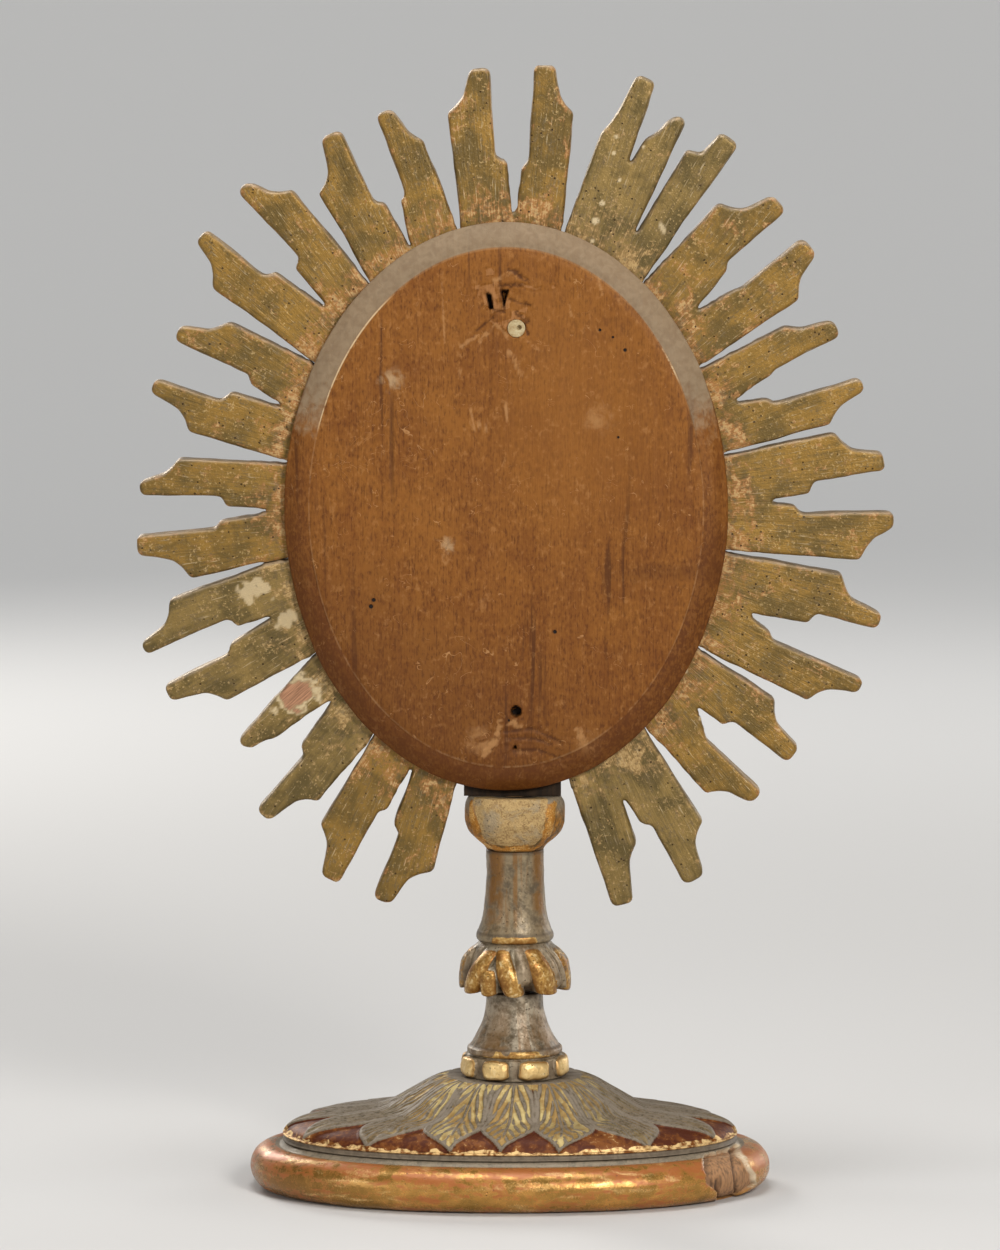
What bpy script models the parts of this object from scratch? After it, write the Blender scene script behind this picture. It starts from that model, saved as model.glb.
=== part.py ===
"""A carved and gilded wooden reliquary monstrance, seen from behind as its back faces -Y.

An oval foot carries a stem of turned and carved pieces threaded on one spindle. The spindle's
tenon carries an oval head: a moulded window frame with glass at the front, fifteen groups of
rays glued round its rebate, and a bevelled back board that draws off rearwards on two pegs.
The stem's axis is the Z axis and the foot stands on Z = 0. Every size is in millimetres and
becomes metres where a mesh is made.
"""

import math
from typing import NamedTuple

import bmesh
import bpy
from mathutils import Vector

MM = 0.001
FIT = 0.3            # clearance between two pieces that touch
SLIDE_FIT = 0.5      # clearance round a piece that lifts or draws off

# Foot
RIM_A = 108.1        # half width of the oval that runs along the middle of the rim's half round
RIM_B = 64.0         # half depth of the same oval
RIM_RADIUS = 10.0    # the rim's half round
FOOT_X = -2.2        # the oval's middle stands a little to one side of the stem's axis
OVAL_POWER = 2.15    # 2 is an ellipse, more is squarer
GROOVE_WIDTH = 7.0   # hollow between the rim and the lip
GROOVE_DEPTH = 1.2
SEAT_Z = 21.5        # top of the plinth, where the dome sits
LIP_INSET = 5.0      # lip's edge, inside the rim's middle line
LIP_HEIGHT = 3.4
DOME_HEIGHT = 29.2   # from the dome's underside to the seat of the collar
SOCKET_Z = 4.0       # floor of the spindle's blind socket

# Stem
SPINDLE_RADIUS = 7.0
COLLAR_HEIGHT = 9.7
COLLAR_RADIUS = 23.2
BEAD_COUNT = 8
BEAD_RISE = 2.8
LOWER_BALUSTER_HEIGHT = 27.7
LOWER_BALUSTER_NECK = 13.0
LOWER_BALUSTER_FOOT = 21.8
KNOP_HEIGHT = 24.2   # from the lobes' tips to the top
KNOP_RADIUS = 23.6
KNOP_OVERHANG = 1.0  # how far the lobes hang below the knop's own seat
LOBE_COUNT = 8
LOBE_RISE = 2.8
LOBE_TWIST = 0.45    # turn of a lobe from top to tip, in radians
UPPER_BALUSTER_HEIGHT = 41.0
UPPER_BALUSTER_NECK = 13.4
UPPER_BALUSTER_FOOT = 17.8
CAPITAL_HEIGHT = 24.4
CAPITAL_RADIUS = 23.4
TENON_SHARES = (1.71, 1.0)      # tenon's width and depth, as shares of the spindle's radius
TENON_WALL = 2.8     # wood left between the mortise and the lower peg's socket

# Head
HEAD_X = -4.0        # the head's middle stands a little to one side of the stem's axis
HEAD_CLEARANCE = 1.5 # between the capital and the oval that the rays stand on
BOARD_A = 99.5
BOARD_B = 127.5
BOARD_LIFT = 1.6     # the board is set on a little above the middle of the rays
BOARD_THICKNESS = 10.0
BOARD_EDGE = 4.0     # thickness left at the thin edge of the bevel
BEVEL_WIDTH = 11.3
TONGUE = 11.2        # depth of the rays' roots under the board
RAY_THICKNESS = 13.0
FRAME_SETBACK = 1.5  # frame's outer edge, inside the board's
FRAME_DEPTH = 19.0   # frame in front of the rays
COMPARTMENT_A = 53.0
COMPARTMENT_B = 74.0
SIGHT_LIP = 4.5      # how far the sight edge laps the glass
GLASS_THICKNESS = 2.0
GLASS_SEAT = 9.5     # glass shoulder, in front of the rays
FILLET_WIDTH = 4.0
FILLET_THICKNESS = 3.0
ROOT_BLOCK_CLEAR = 1.0

# Fixings of the back board. A place is a distance to the right of the head's middle line, and a
# share of the border between the relic compartment and the board's edge.
UPPER_PEG_RADIUS = 4.0
UPPER_PEG_PLACE = (4.5, 0.15)
LOWER_PEG_RADIUS = 2.6
LOWER_PEG_PLACE = (4.5, 0.29)
LOWER_PEG_SUNK = 4.0 # how far its broken end lies below the board's back
PEG_REACH = 11.0     # how far a peg stands into the frame
PRICK_RADIUS = 0.8   # small hole in the end of the upper peg
NAIL_HOLE_RADIUS = 1.1
NAIL_HOLE_PLACE = (4.0, 0.595)
NAIL_HOLE_DEPTH = 5.0
SLOT_SIZE = (2.4, 6.8)
SLOT_PLACES = ((-7.0, 0.375), (-0.5, 0.40))

# Relic mount behind the window
PANEL_THICKNESS = 2.5
CASE_A = 17.0
CASE_B = 22.0
CASE_DEPTH = 9.2
CASE_WALL = 1.6
CASE_GLASS = 1.2
PACKET_THICKNESS = 4.0

# Rays
TIP_CORNER = 1.5
SHOULDER_RUN = 11.0  # length of the hollow between a shoulder and the neck of the tip
SHOULDER_NECK = 1.8  # neck's extra half width there
STEP_RUN = 3.5
STEP_NECK = 0.7
GAP_HALF_WIDTH = 0.9
SEAM_HALF_WIDTH = 0.25
RAY_EDGE = 0.9       # small bevel along the edges

# Numbers of straight sides that stand for a curve
OVAL_SIDES = 48
FOOT_SIDES = 48
TURNED_SIDES = 28
LOBED_SIDES = 40
PEG_SIDES = 16


class Side(NamedTuple):
    """One long side of a ray: its corner, measured back from the tip and out from the middle line."""

    back: float
    out: float
    run: float
    neck: float


class Ray(NamedTuple):
    """A ray's tip, as a bearing clockwise from the top and a length outside the oval of the board."""

    bearing: float
    length: float
    tip: float
    left: Side | None
    right: Side | None


class Gap(NamedTuple):
    """Where a gap between two rays ends, as a bearing and a distance outside the same oval."""

    bearing: float
    stand_off: float


class Group(NamedTuple):
    """Rays carved from one piece of wood, from one seam to the next, with the clefts between them."""

    start: Gap
    end: Gap
    rays: tuple[Ray, ...]
    clefts: tuple[Gap, ...]


def shoulder(back, out):
    """The wide corner of a ray's outer side, with a long hollow up to the tip."""
    return Side(back, out, SHOULDER_RUN, SHOULDER_NECK)


def step(back, out):
    """The small notch in a ray's inner side."""
    return Side(back, out, STEP_RUN, STEP_NECK)


def pair(start, cleft, end, first, second):
    """Two mirrored rays: their shoulders are on the outside and their steps face each other."""
    bearing, length, tip, outer, inner = first
    one = Ray(bearing, length, tip, shoulder(*outer), step(*inner))
    bearing, length, tip, outer, inner = second
    two = Ray(bearing, length, tip, step(*inner), shoulder(*outer))
    return Group(Gap(*start), Gap(*end), (one, two), (Gap(*cleft),))


# Seams between the groups, clockwise from the top, as (bearing, stand off)
TOP = (350.5, 2.0)
SEAMS = (
    TOP, (371.5, 1.0), (391.0, 3.5), (413.5, 1.5), (435.5, 1.5), (460.5, 1.5), (485.5, 1.0),
    (507.5, 3.0), (527.0, 3.5), (550.0, 0.5), (570.5, 4.0), (593.0, 3.5), (617.5, 11.5),
    (642.5, 1.5), (667.5, 4.0), (689.0, 3.0), (710.5, 2.0),
)
STEM_SEAM = 8        # the stem comes up between this seam and the next

GROUPS = (
    pair(SEAMS[0], (361.5, 5.5), SEAMS[1],
         (356.5, 70.0, 9.0, (19.0, 15.0), (41.5, 10.5)),
         (365.0, 72.0, 9.0, (20.5, 13.5), (45.0, 8.5))),
    Group(Gap(*SEAMS[1]), Gap(*SEAMS[2]),
          (Ray(378.0, 79.0, 9.0, Side(30.0, 9.0, 22.0, 0.5), None),
           Ray(384.0, 70.5, 5.0, shoulder(16.0, 8.5), None),
           Ray(391.0, 76.0, 9.5, step(15.5, 12.0), None)),
          (Gap(379.5, 41.5), Gap(385.0, 16.5))),
    pair(SEAMS[2], (403.5, 12.5), SEAMS[3],
         (401.5, 71.0, 9.0, (20.5, 17.0), (37.0, 8.0)),
         (409.0, 70.5, 9.5, (18.5, 15.0), (37.5, 6.5))),
    pair(SEAMS[3], (424.5, 11.0), SEAMS[4],
         (421.0, 64.5, 8.0, (20.5, 10.5), (35.5, 6.5)),
         (430.5, 67.5, 6.5, (19.5, 12.5), (42.5, 7.0))),
    pair(SEAMS[4], (448.0, 19.5), SEAMS[5],
         (442.5, 71.0, 8.5, (21.0, 15.0), (35.0, 10.5)),
         (451.5, 74.5, 8.0, (16.0, 17.0), (44.0, 9.0))),
    pair(SEAMS[5], (473.0, 16.5), SEAMS[6],
         (466.5, 74.0, 7.0, (22.5, 16.0), (31.0, 9.5)),
         (476.5, 74.5, 7.0, (20.0, 14.5), (47.0, 7.0))),
    pair(SEAMS[6], (496.0, 12.5), SEAMS[7],
         (490.5, 61.0, 8.5, (22.5, 14.0), (33.0, 9.5)),
         (499.0, 59.0, 7.0, (18.0, 14.0), (37.0, 6.0))),
    Group(Gap(*SEAMS[7]), Gap(*SEAMS[8]),
          (Ray(513.0, 67.5, 9.5, shoulder(22.0, 15.0), step(33.5, 9.5)),
           Ray(523.5, 61.5, 9.5, shoulder(26.0, 12.0), None)),
          (Gap(518.0, 18.5),)),
    pair(SEAMS[9], (560.0, 1.0), SEAMS[10],
         (557.5, 61.5, 8.5, (21.5, 15.5), (34.0, 8.5)),
         (565.5, 64.5, 9.5, (21.0, 14.5), (40.0, 8.5))),
    Group(Gap(*SEAMS[10]), Gap(*SEAMS[11]),
          (Ray(578.5, 62.0, 7.5, shoulder(22.0, 13.5), step(35.0, 8.5)),
           Ray(588.5, 50.0, 5.0, shoulder(14.0, 7.5), None)),
          (Gap(582.5, 4.0),)),
    pair(SEAMS[11], (605.5, 12.5), SEAMS[12],
         (601.5, 69.0, 8.0, (23.0, 14.0), (35.0, 8.5)),
         (609.0, 72.5, 6.0, (20.5, 15.0), (43.0, 8.5))),
    pair(SEAMS[12], (630.0, 7.5), SEAMS[13],
         (624.5, 66.5, 9.0, (23.0, 16.0), (38.0, 8.5)),
         (633.5, 65.0, 6.5, (18.0, 13.0), (39.0, 8.5))),
    pair(SEAMS[13], (655.0, 7.5), SEAMS[14],
         (649.5, 66.0, 7.0, (22.5, 13.5), (33.5, 9.5)),
         (658.5, 63.0, 7.5, (19.5, 13.5), (39.0, 8.0))),
    pair(SEAMS[14], (678.5, 9.5), SEAMS[15],
         (672.0, 74.0, 7.5, (19.0, 14.5), (36.0, 8.5)),
         (681.0, 72.5, 6.5, (16.5, 14.5), (42.5, 8.5))),
    pair(SEAMS[15], (700.0, 2.5), SEAMS[16],
         (695.0, 64.5, 9.5, (22.0, 15.5), (37.5, 9.0)),
         (703.0, 62.0, 7.5, (18.5, 11.5), (40.0, 7.5))),
)

# Levels up the stem, each piece standing FIT above the one below
DOME_Z = SEAT_Z + FIT
DOME_TOP = DOME_Z + DOME_HEIGHT
COLLAR_Z = DOME_TOP + FIT
COLLAR_TOP = COLLAR_Z + COLLAR_HEIGHT
LOWER_BALUSTER_Z = COLLAR_TOP + FIT
LOWER_BALUSTER_TOP = LOWER_BALUSTER_Z + LOWER_BALUSTER_HEIGHT
KNOP_SEAT = LOWER_BALUSTER_TOP + FIT
KNOP_Z = KNOP_SEAT - KNOP_OVERHANG
KNOP_TOP = KNOP_Z + KNOP_HEIGHT
UPPER_BALUSTER_Z = KNOP_TOP + FIT
UPPER_BALUSTER_TOP = UPPER_BALUSTER_Z + UPPER_BALUSTER_HEIGHT
CAPITAL_Z = UPPER_BALUSTER_TOP + FIT
CAPITAL_TOP = CAPITAL_Z + CAPITAL_HEIGHT
HEAD_Z = CAPITAL_TOP + BOARD_B + HEAD_CLEARANCE
BLOCK_Z = CAPITAL_TOP + FIT
BORE_RADIUS = SPINDLE_RADIUS + FIT

# Fixings, from the middle of the head
BORDER = BOARD_B - COMPARTMENT_B
UPPER_PEG_AT = (UPPER_PEG_PLACE[0], COMPARTMENT_B + UPPER_PEG_PLACE[1] * BORDER)
LOWER_PEG_AT = (LOWER_PEG_PLACE[0], -COMPARTMENT_B - LOWER_PEG_PLACE[1] * BORDER)
NAIL_HOLE_AT = (NAIL_HOLE_PLACE[0], -COMPARTMENT_B - NAIL_HOLE_PLACE[1] * BORDER)
SLOTS_AT = tuple((aside, COMPARTMENT_B + share * BORDER) for aside, share in SLOT_PLACES)

# Tenon, cut from the end of the spindle
TENON_WIDTH = TENON_SHARES[0] * SPINDLE_RADIUS
TENON_DEPTH = TENON_SHARES[1] * SPINDLE_RADIUS
TENON_TOP = HEAD_Z + LOWER_PEG_AT[1] - LOWER_PEG_RADIUS - FIT - TENON_WALL - SLIDE_FIT

# Layers of the head, from the back, with the rays' middle on the stem's axis
RAY_BACK = -RAY_THICKNESS / 2
RAY_FRONT = RAY_THICKNESS / 2
BOARD_FRONT = RAY_BACK - FIT
BOARD_BACK = BOARD_FRONT - BOARD_THICKNESS
FRAME_BACK = RAY_BACK
FRAME_FRONT = RAY_FRONT + FRAME_DEPTH
GLASS_SHOULDER = RAY_FRONT + GLASS_SEAT
GLASS_FRONT = GLASS_SHOULDER - FIT
GLASS_BACK = GLASS_FRONT - GLASS_THICKNESS
FILLET_FRONT = GLASS_BACK - FIT
FILLET_BACK = FILLET_FRONT - FILLET_THICKNESS
PANEL_BACK = BOARD_FRONT + FIT
PANEL_FRONT = PANEL_BACK + PANEL_THICKNESS
CASE_BACK = PANEL_FRONT + FIT
CASE_FRONT = CASE_BACK + CASE_DEPTH
TONGUE_A = BOARD_A - TONGUE
TONGUE_B = BOARD_B - TONGUE

WOOD = ((0.42, 0.23, 0.10), 0.62, 0.0)
RAW_WOOD = ((0.55, 0.36, 0.20), 0.70, 0.0)
GILDING = ((0.62, 0.42, 0.17), 0.38, 0.75)
OLD_GILDING = ((0.50, 0.39, 0.20), 0.45, 0.55)
LEAF_PAINT = ((0.42, 0.39, 0.30), 0.55, 0.25)
GREY_PAINT = ((0.40, 0.38, 0.34), 0.50, 0.30)
PLUG_WOOD = ((0.62, 0.53, 0.38), 0.70, 0.0)
GLASS = ((0.85, 0.90, 0.88), 0.05, 0.0)
SILK = ((0.45, 0.06, 0.07), 0.60, 0.0)
BRASS = ((0.66, 0.47, 0.20), 0.30, 1.0)
LINEN = ((0.75, 0.68, 0.55), 0.80, 0.0)


def clear_scene():
    """Empty the file before the model is made."""
    for old in list(bpy.data.objects):
        bpy.data.objects.remove(old)


def surface(name, finish):
    """A plain material of one colour, roughness and metallic value."""
    colour, roughness, metallic = finish
    material = bpy.data.materials.new(name)
    material.use_nodes = True
    shader = material.node_tree.nodes["Principled BSDF"]
    shader.inputs["Base Color"].default_value = (*colour, 1.0)
    shader.inputs["Roughness"].default_value = roughness
    shader.inputs["Metallic"].default_value = metallic
    return material


def add_object(name, bm, finish):
    """Turn a closed bmesh in millimetres into a named object in metres, its faces pointing out."""
    for vertex in bm.verts:
        vertex.co *= MM
    bmesh.ops.recalc_face_normals(bm, faces=bm.faces)
    mesh = bpy.data.meshes.new(name)
    bm.to_mesh(mesh)
    bm.free()
    mesh.shade_smooth()
    mesh.set_sharp_from_angle(angle=math.radians(35))
    obj = bpy.data.objects.new(name, mesh)
    bpy.context.collection.objects.link(obj)
    obj.data.materials.append(surface(name, finish))
    return obj


def loft(name, rings, finish, closed=False):
    """Skin rings of as many points each. A closed loft joins the last ring to the first."""
    bm = bmesh.new()
    loops = [[bm.verts.new(point) for point in ring] for ring in rings]
    following = loops[1:] + loops[:1] if closed else loops[1:]
    for near, far in zip(loops, following):
        for i in range(len(near)):
            j = (i + 1) % len(near)
            bm.faces.new((near[i], near[j], far[j], far[i]))
    if not closed:
        bm.faces.new(loops[0])
        bm.faces.new(loops[-1])
    return add_object(name, bm, finish)


def as_cutter(obj):
    """Hide a shape that only cuts or fills another one."""
    obj.hide_render = True
    obj.display_type = "WIRE"
    return obj


def combine(obj, other, operation):
    """Cut a hidden shape from an object, or join it on."""
    modifier = obj.modifiers.new(other.name, "BOOLEAN")
    modifier.operation = operation
    modifier.solver = "EXACT"
    modifier.object = as_cutter(other)


def angles(sides):
    """Equal steps round a full turn."""
    return [2 * math.pi * i / sides for i in range(sides)]


def round_ring(radius, z, sides=TURNED_SIDES):
    """A level circle round the stem's axis."""
    return [(radius * math.cos(t), radius * math.sin(t), z) for t in angles(sides)]


def foot_ring(half_width, half_depth, z, power=OVAL_POWER, middle=FOOT_X):
    """A level rounded oval: |x/a|^n + |y/b|^n = 1."""
    ring = []
    for t in angles(FOOT_SIDES):
        reach = (abs(math.cos(t)) ** power + abs(math.sin(t)) ** power) ** (-1 / power)
        ring.append((middle + half_width * reach * math.cos(t), half_depth * reach * math.sin(t), z))
    return ring


def head_ring(half_width, half_height, y, sides=OVAL_SIDES, lift=0.0):
    """An upright ellipse about the head's middle."""
    return [(HEAD_X + half_width * math.sin(t), y, HEAD_Z + lift + half_height * math.cos(t))
            for t in angles(sides)]


def peg_ring(centre, radius, y, slope=0.0):
    """An upright circle in the head, which slope leans so that one side stands further forward."""
    x, z = centre
    return [(HEAD_X + x + radius * math.sin(t), y + slope * math.cos(t),
             HEAD_Z + z + radius * math.cos(t)) for t in angles(PEG_SIDES)]


def box(name, low, high):
    """A block between two corners."""
    (x0, y0, z0), (x1, y1, z1) = low, high
    rings = [[(x0, y0, z), (x1, y0, z), (x1, y1, z), (x0, y1, z)] for z in (z0, z1)]
    return loft(name, rings, RAW_WOOD)


def turned(name, outside, finish):
    """A turned piece with the spindle's bore through it, from (radius, z) points, bottom to top."""
    rings = [round_ring(radius, z) for radius, z in outside]
    bottom = round_ring(BORE_RADIUS, outside[0][1])
    top = round_ring(BORE_RADIUS, outside[-1][1])
    return loft(name, [*rings, top, bottom], finish, closed=True)


def carved(name, outside, rise, finish):
    """As turned, with a rise(angle, height) added to the radius, where height runs from 0 to 1."""
    low, high = outside[0][1], outside[-1][1]
    rings = []
    for radius, z in outside:
        height = (z - low) / (high - low)
        rings.append([((radius + rise(t, height)) * math.cos(t),
                       (radius + rise(t, height)) * math.sin(t), z)
                      for t in angles(LOBED_SIDES)])
    bottom = round_ring(BORE_RADIUS, low, LOBED_SIDES)
    top = round_ring(BORE_RADIUS, high, LOBED_SIDES)
    return loft(name, [*rings, top, bottom], finish, closed=True)


# ---------------------------------------------------------------- foot

def foot_plinth():
    """Flat slab with a half-round rim and a hollow inside it, blind-bored for the spindle."""
    rings = [round_ring(BORE_RADIUS, SOCKET_Z, FOOT_SIDES),
             round_ring(BORE_RADIUS, SEAT_Z, FOOT_SIDES)]
    seat = GROOVE_WIDTH + LIP_INSET - 2.0
    hollow = [(-seat, SEAT_Z), (-seat + 0.8, 2 * RIM_RADIUS - GROOVE_DEPTH)]
    rim = []
    for degrees in (122, 90, 60, 30, 0, -30, -60, -80):
        t = math.radians(degrees)
        rim.append((RIM_RADIUS * math.cos(t), RIM_RADIUS * (1 + math.sin(t))))
    for offset, z in [*hollow, *rim]:
        rings.append(foot_ring(RIM_A + offset, RIM_B + offset, z))
    last = RIM_RADIUS * math.cos(math.radians(80))
    rings.append(foot_ring(RIM_A + last - 1.0, RIM_B + last - 1.0, 0.0))
    return loft("foot_plinth", rings, GILDING)


def foot_dome():
    """Dome that runs from the oval lip up to the round seat of the collar."""
    lip_a = RIM_A - LIP_INSET
    lip_b = RIM_B - LIP_INSET
    lip_top = DOME_Z + LIP_HEIGHT
    seat = COLLAR_RADIUS + BEAD_RISE + 0.6
    rings = [round_ring(BORE_RADIUS, DOME_Z, FOOT_SIDES),
             foot_ring(lip_a - 2.0, lip_b - 2.0, DOME_Z),
             foot_ring(lip_a, lip_b, DOME_Z + 1.0),
             foot_ring(lip_a, lip_b, lip_top - 0.8)]
    rise = DOME_TOP - lip_top
    for along, height in ((0.98, 0.0), (0.93, 0.15), (0.80, 0.26), (0.60, 0.345), (0.43, 0.42),
                          (0.27, 0.68), (0.14, 0.89), (0.05, 0.98), (0.0, 1.0)):
        a = seat + along * (lip_a - seat)
        b = seat + along * (lip_b - seat)
        power = 2 + along * (OVAL_POWER - 2)
        rings.append(foot_ring(a, b, lip_top + height * rise, power, along * FOOT_X))
    rings.append(round_ring(BORE_RADIUS, DOME_TOP, FOOT_SIDES))
    return loft("foot_dome", rings, LEAF_PAINT, closed=True)


# ---------------------------------------------------------------- stem

def stem_spindle():
    """Long dowel through every stem piece, with a flat tenon for the head."""
    low = SOCKET_Z + FIT
    rings = [round_ring(SPINDLE_RADIUS - 0.8, low), round_ring(SPINDLE_RADIUS, low + 0.8),
             round_ring(SPINDLE_RADIUS, CAPITAL_TOP)]
    spindle = loft("stem_spindle", rings, RAW_WOOD)
    half_width, half_depth = TENON_WIDTH / 2, TENON_DEPTH / 2
    tenon = box("spindle_tenon", (-half_width, -half_depth, CAPITAL_TOP - 0.5),
                (half_width, half_depth, TENON_TOP))
    combine(spindle, tenon, "UNION")
    return spindle


def bead_rise(angle, height):
    """A row of long beads: half waves round the collar, swelling in the middle of its height."""
    across = abs(math.sin(angle * BEAD_COUNT / 2)) ** 0.6
    return BEAD_RISE * across * math.sin(math.pi * min(max(height, 0.0), 1.0)) ** 0.7


def collar():
    """Beaded ring under the lower baluster."""
    profile = [(COLLAR_RADIUS + 0.6, 0.0), (COLLAR_RADIUS, 0.15), (COLLAR_RADIUS, 0.38),
               (COLLAR_RADIUS - 0.2, 0.62), (COLLAR_RADIUS - 0.6, 0.85), (COLLAR_RADIUS - 1.6, 1.0)]
    outside = [(r, COLLAR_Z + h * COLLAR_HEIGHT) for r, h in profile]
    return carved("collar", outside, bead_rise, GILDING)


def lower_baluster():
    """Small trumpet with a rim at its foot."""
    foot, neck = LOWER_BALUSTER_FOOT, LOWER_BALUSTER_NECK
    spread = foot - neck
    profile = [(foot - 0.6, 0.0), (foot, 0.04), (foot - 0.4, 0.10), (neck + 0.80 * spread, 0.17),
               (neck + 0.52 * spread, 0.32), (neck + 0.27 * spread, 0.48),
               (neck + 0.10 * spread, 0.65), (neck, 0.82), (neck, 1.0)]
    outside = [(r, LOWER_BALUSTER_Z + h * LOWER_BALUSTER_HEIGHT) for r, h in profile]
    return turned("lower_baluster", outside, GREY_PAINT)


def lobe_rise(angle, height):
    """Slanting lobes: half waves round the knop, fullest near the tips and gone at the top."""
    across = abs(math.cos((angle + LOBE_TWIST * height) * LOBE_COUNT / 2)) ** 0.7
    return LOBE_RISE * across * (1 - height) ** 0.5


def leaf_knop():
    """Bell of slanting leaves whose tips hang free round the baluster's neck."""
    profile = [(0.62, 0.0), (0.83, 0.0), (0.95, 0.07), (1.0, 0.24), (0.98, 0.48), (0.93, 0.70),
               (0.85, 0.86), (0.71, 1.0)]
    rings = []
    for share, height in profile:
        radius = share * KNOP_RADIUS
        z = KNOP_Z + height * KNOP_HEIGHT
        swell = 0.0 if share == profile[0][0] else 1.0
        rings.append([((radius + swell * lobe_rise(t, height)) * math.cos(t),
                       (radius + swell * lobe_rise(t, height)) * math.sin(t), z)
                      for t in angles(LOBED_SIDES)])
    rings += [round_ring(BORE_RADIUS, KNOP_TOP, LOBED_SIDES),
              round_ring(BORE_RADIUS, KNOP_SEAT, LOBED_SIDES),
              round_ring(LOWER_BALUSTER_NECK + 1.2, KNOP_SEAT, LOBED_SIDES)]
    return loft("leaf_knop", rings, GILDING, closed=True)


def upper_baluster():
    """Long trumpet with a rim at its foot and a narrow neck under the capital."""
    foot, neck = UPPER_BALUSTER_FOOT, UPPER_BALUSTER_NECK
    spread = foot - neck
    profile = [(foot - 0.7, 0.0), (foot, 0.02), (foot - 0.2, 0.07), (neck + 0.62 * spread, 0.15),
               (neck + 0.28 * spread, 0.30), (neck + 0.10 * spread, 0.50), (neck - 0.1, 0.75),
               (neck, 1.0)]
    outside = [(r, UPPER_BALUSTER_Z + h * UPPER_BALUSTER_HEIGHT) for r, h in profile]
    return turned("upper_baluster", outside, GREY_PAINT)


def capital():
    """Carved cushion under the head."""
    profile = [(0.575, 0.0), (0.63, 0.10), (0.74, 0.20), (0.86, 0.31), (0.96, 0.45), (1.0, 0.62),
               (1.0, 0.82), (0.96, 0.95), (0.91, 1.0)]
    outside = [(share * CAPITAL_RADIUS, CAPITAL_Z + h * CAPITAL_HEIGHT) for share, h in profile]
    return turned("capital", outside, OLD_GILDING)


# ---------------------------------------------------------------- head

def edge_radius(bearing, a=BOARD_A, b=BOARD_B):
    """Distance from the head's middle to an upright ellipse, along a bearing in degrees."""
    t = math.radians(bearing)
    return 1 / math.hypot(math.sin(t) / a, math.cos(t) / b)


def at_bearing(bearing, radius, aside=0.0):
    """The point (x, z) at a bearing and radius in the head, moved clockwise by aside."""
    t = math.radians(bearing)
    return Vector((radius * math.sin(t) + aside * math.cos(t),
                   radius * math.cos(t) - aside * math.sin(t)))


def gap_end(gap):
    """Where a gap ends, on its middle line."""
    return at_bearing(gap.bearing, edge_radius(gap.bearing) + gap.stand_off)


def side_points(side, half_tip):
    """One side of a ray from its corner to its tip, as (back, out) points."""
    tip = [(TIP_CORNER, half_tip), (0.0, half_tip - TIP_CORNER)]
    if side is None:
        return tip
    neck = half_tip + side.neck
    hollow = []
    for t in (0.0, 0.3, 0.65, 1.0):
        out = neck + (side.out - neck) * (1 - t) ** 2
        hollow.append((side.back - side.run * t, out))
    return hollow + tip


def ray_points(ray, before, after):
    """A ray's outline from the gap before it to the gap after it."""
    tip = at_bearing(ray.bearing, edge_radius(ray.bearing) + ray.length)
    root = (gap_end(before) + gap_end(after)) / 2
    along = (tip - root).normalized()
    across = Vector((along.y, -along.x))
    left = [tip - along * back - across * out for back, out in side_points(ray.left, ray.tip / 2)]
    right = [tip - along * back + across * out for back, out in side_points(ray.right, ray.tip / 2)]
    return left + right[::-1]


def group_outline(group):
    """Outline of one group of rays: a tongue under the board, then each ray and each cleft."""
    points = []
    first, last = group.start, group.end
    opening = edge_radius(first.bearing) + first.stand_off
    points.append(at_bearing(first.bearing, edge_radius(first.bearing, TONGUE_A, TONGUE_B),
                             SEAM_HALF_WIDTH))
    points.append(at_bearing(first.bearing, opening - GAP_HALF_WIDTH, SEAM_HALF_WIDTH))
    points.append(at_bearing(first.bearing, opening, GAP_HALF_WIDTH))
    gaps = [first, *group.clefts, last]
    for before, ray, after in zip(gaps, group.rays, gaps[1:]):
        points += ray_points(ray, before, after)
        if after is not last:
            radius = edge_radius(after.bearing) + after.stand_off
            points.append(at_bearing(after.bearing, radius, -GAP_HALF_WIDTH))
            points.append(at_bearing(after.bearing, radius, GAP_HALF_WIDTH))
    opening = edge_radius(last.bearing) + last.stand_off
    points.append(at_bearing(last.bearing, opening, -GAP_HALF_WIDTH))
    points.append(at_bearing(last.bearing, opening - GAP_HALF_WIDTH, -SEAM_HALF_WIDTH))
    points.append(at_bearing(last.bearing, edge_radius(last.bearing, TONGUE_A, TONGUE_B),
                             -SEAM_HALF_WIDTH))
    for share in (0.8, 0.6, 0.4, 0.2):
        bearing = first.bearing + share * (last.bearing - first.bearing)
        points.append(at_bearing(bearing, edge_radius(bearing, TONGUE_A, TONGUE_B)))
    return points


def slab(name, outline, back, front, finish, edge=0.0):
    """An upright board of a given outline in the head, its long edges taken off by edge."""
    bm = bmesh.new()
    lower = [bm.verts.new((HEAD_X + x, back, HEAD_Z + z)) for x, z in outline]
    face = bm.faces.new(lower)
    grown = bmesh.ops.extrude_face_region(bm, geom=[face])["geom"]
    moved = [item for item in grown if isinstance(item, bmesh.types.BMVert)]
    bmesh.ops.translate(bm, verts=moved, vec=(0.0, front - back, 0.0))
    if edge:
        rims = [e for e in bm.edges if abs(e.verts[0].co.y - e.verts[1].co.y) < edge]
        bmesh.ops.bevel(bm, geom=rims, offset=edge, segments=1, affect="EDGES", clamp_overlap=True)
    return add_object(name, bm, finish)


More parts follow.
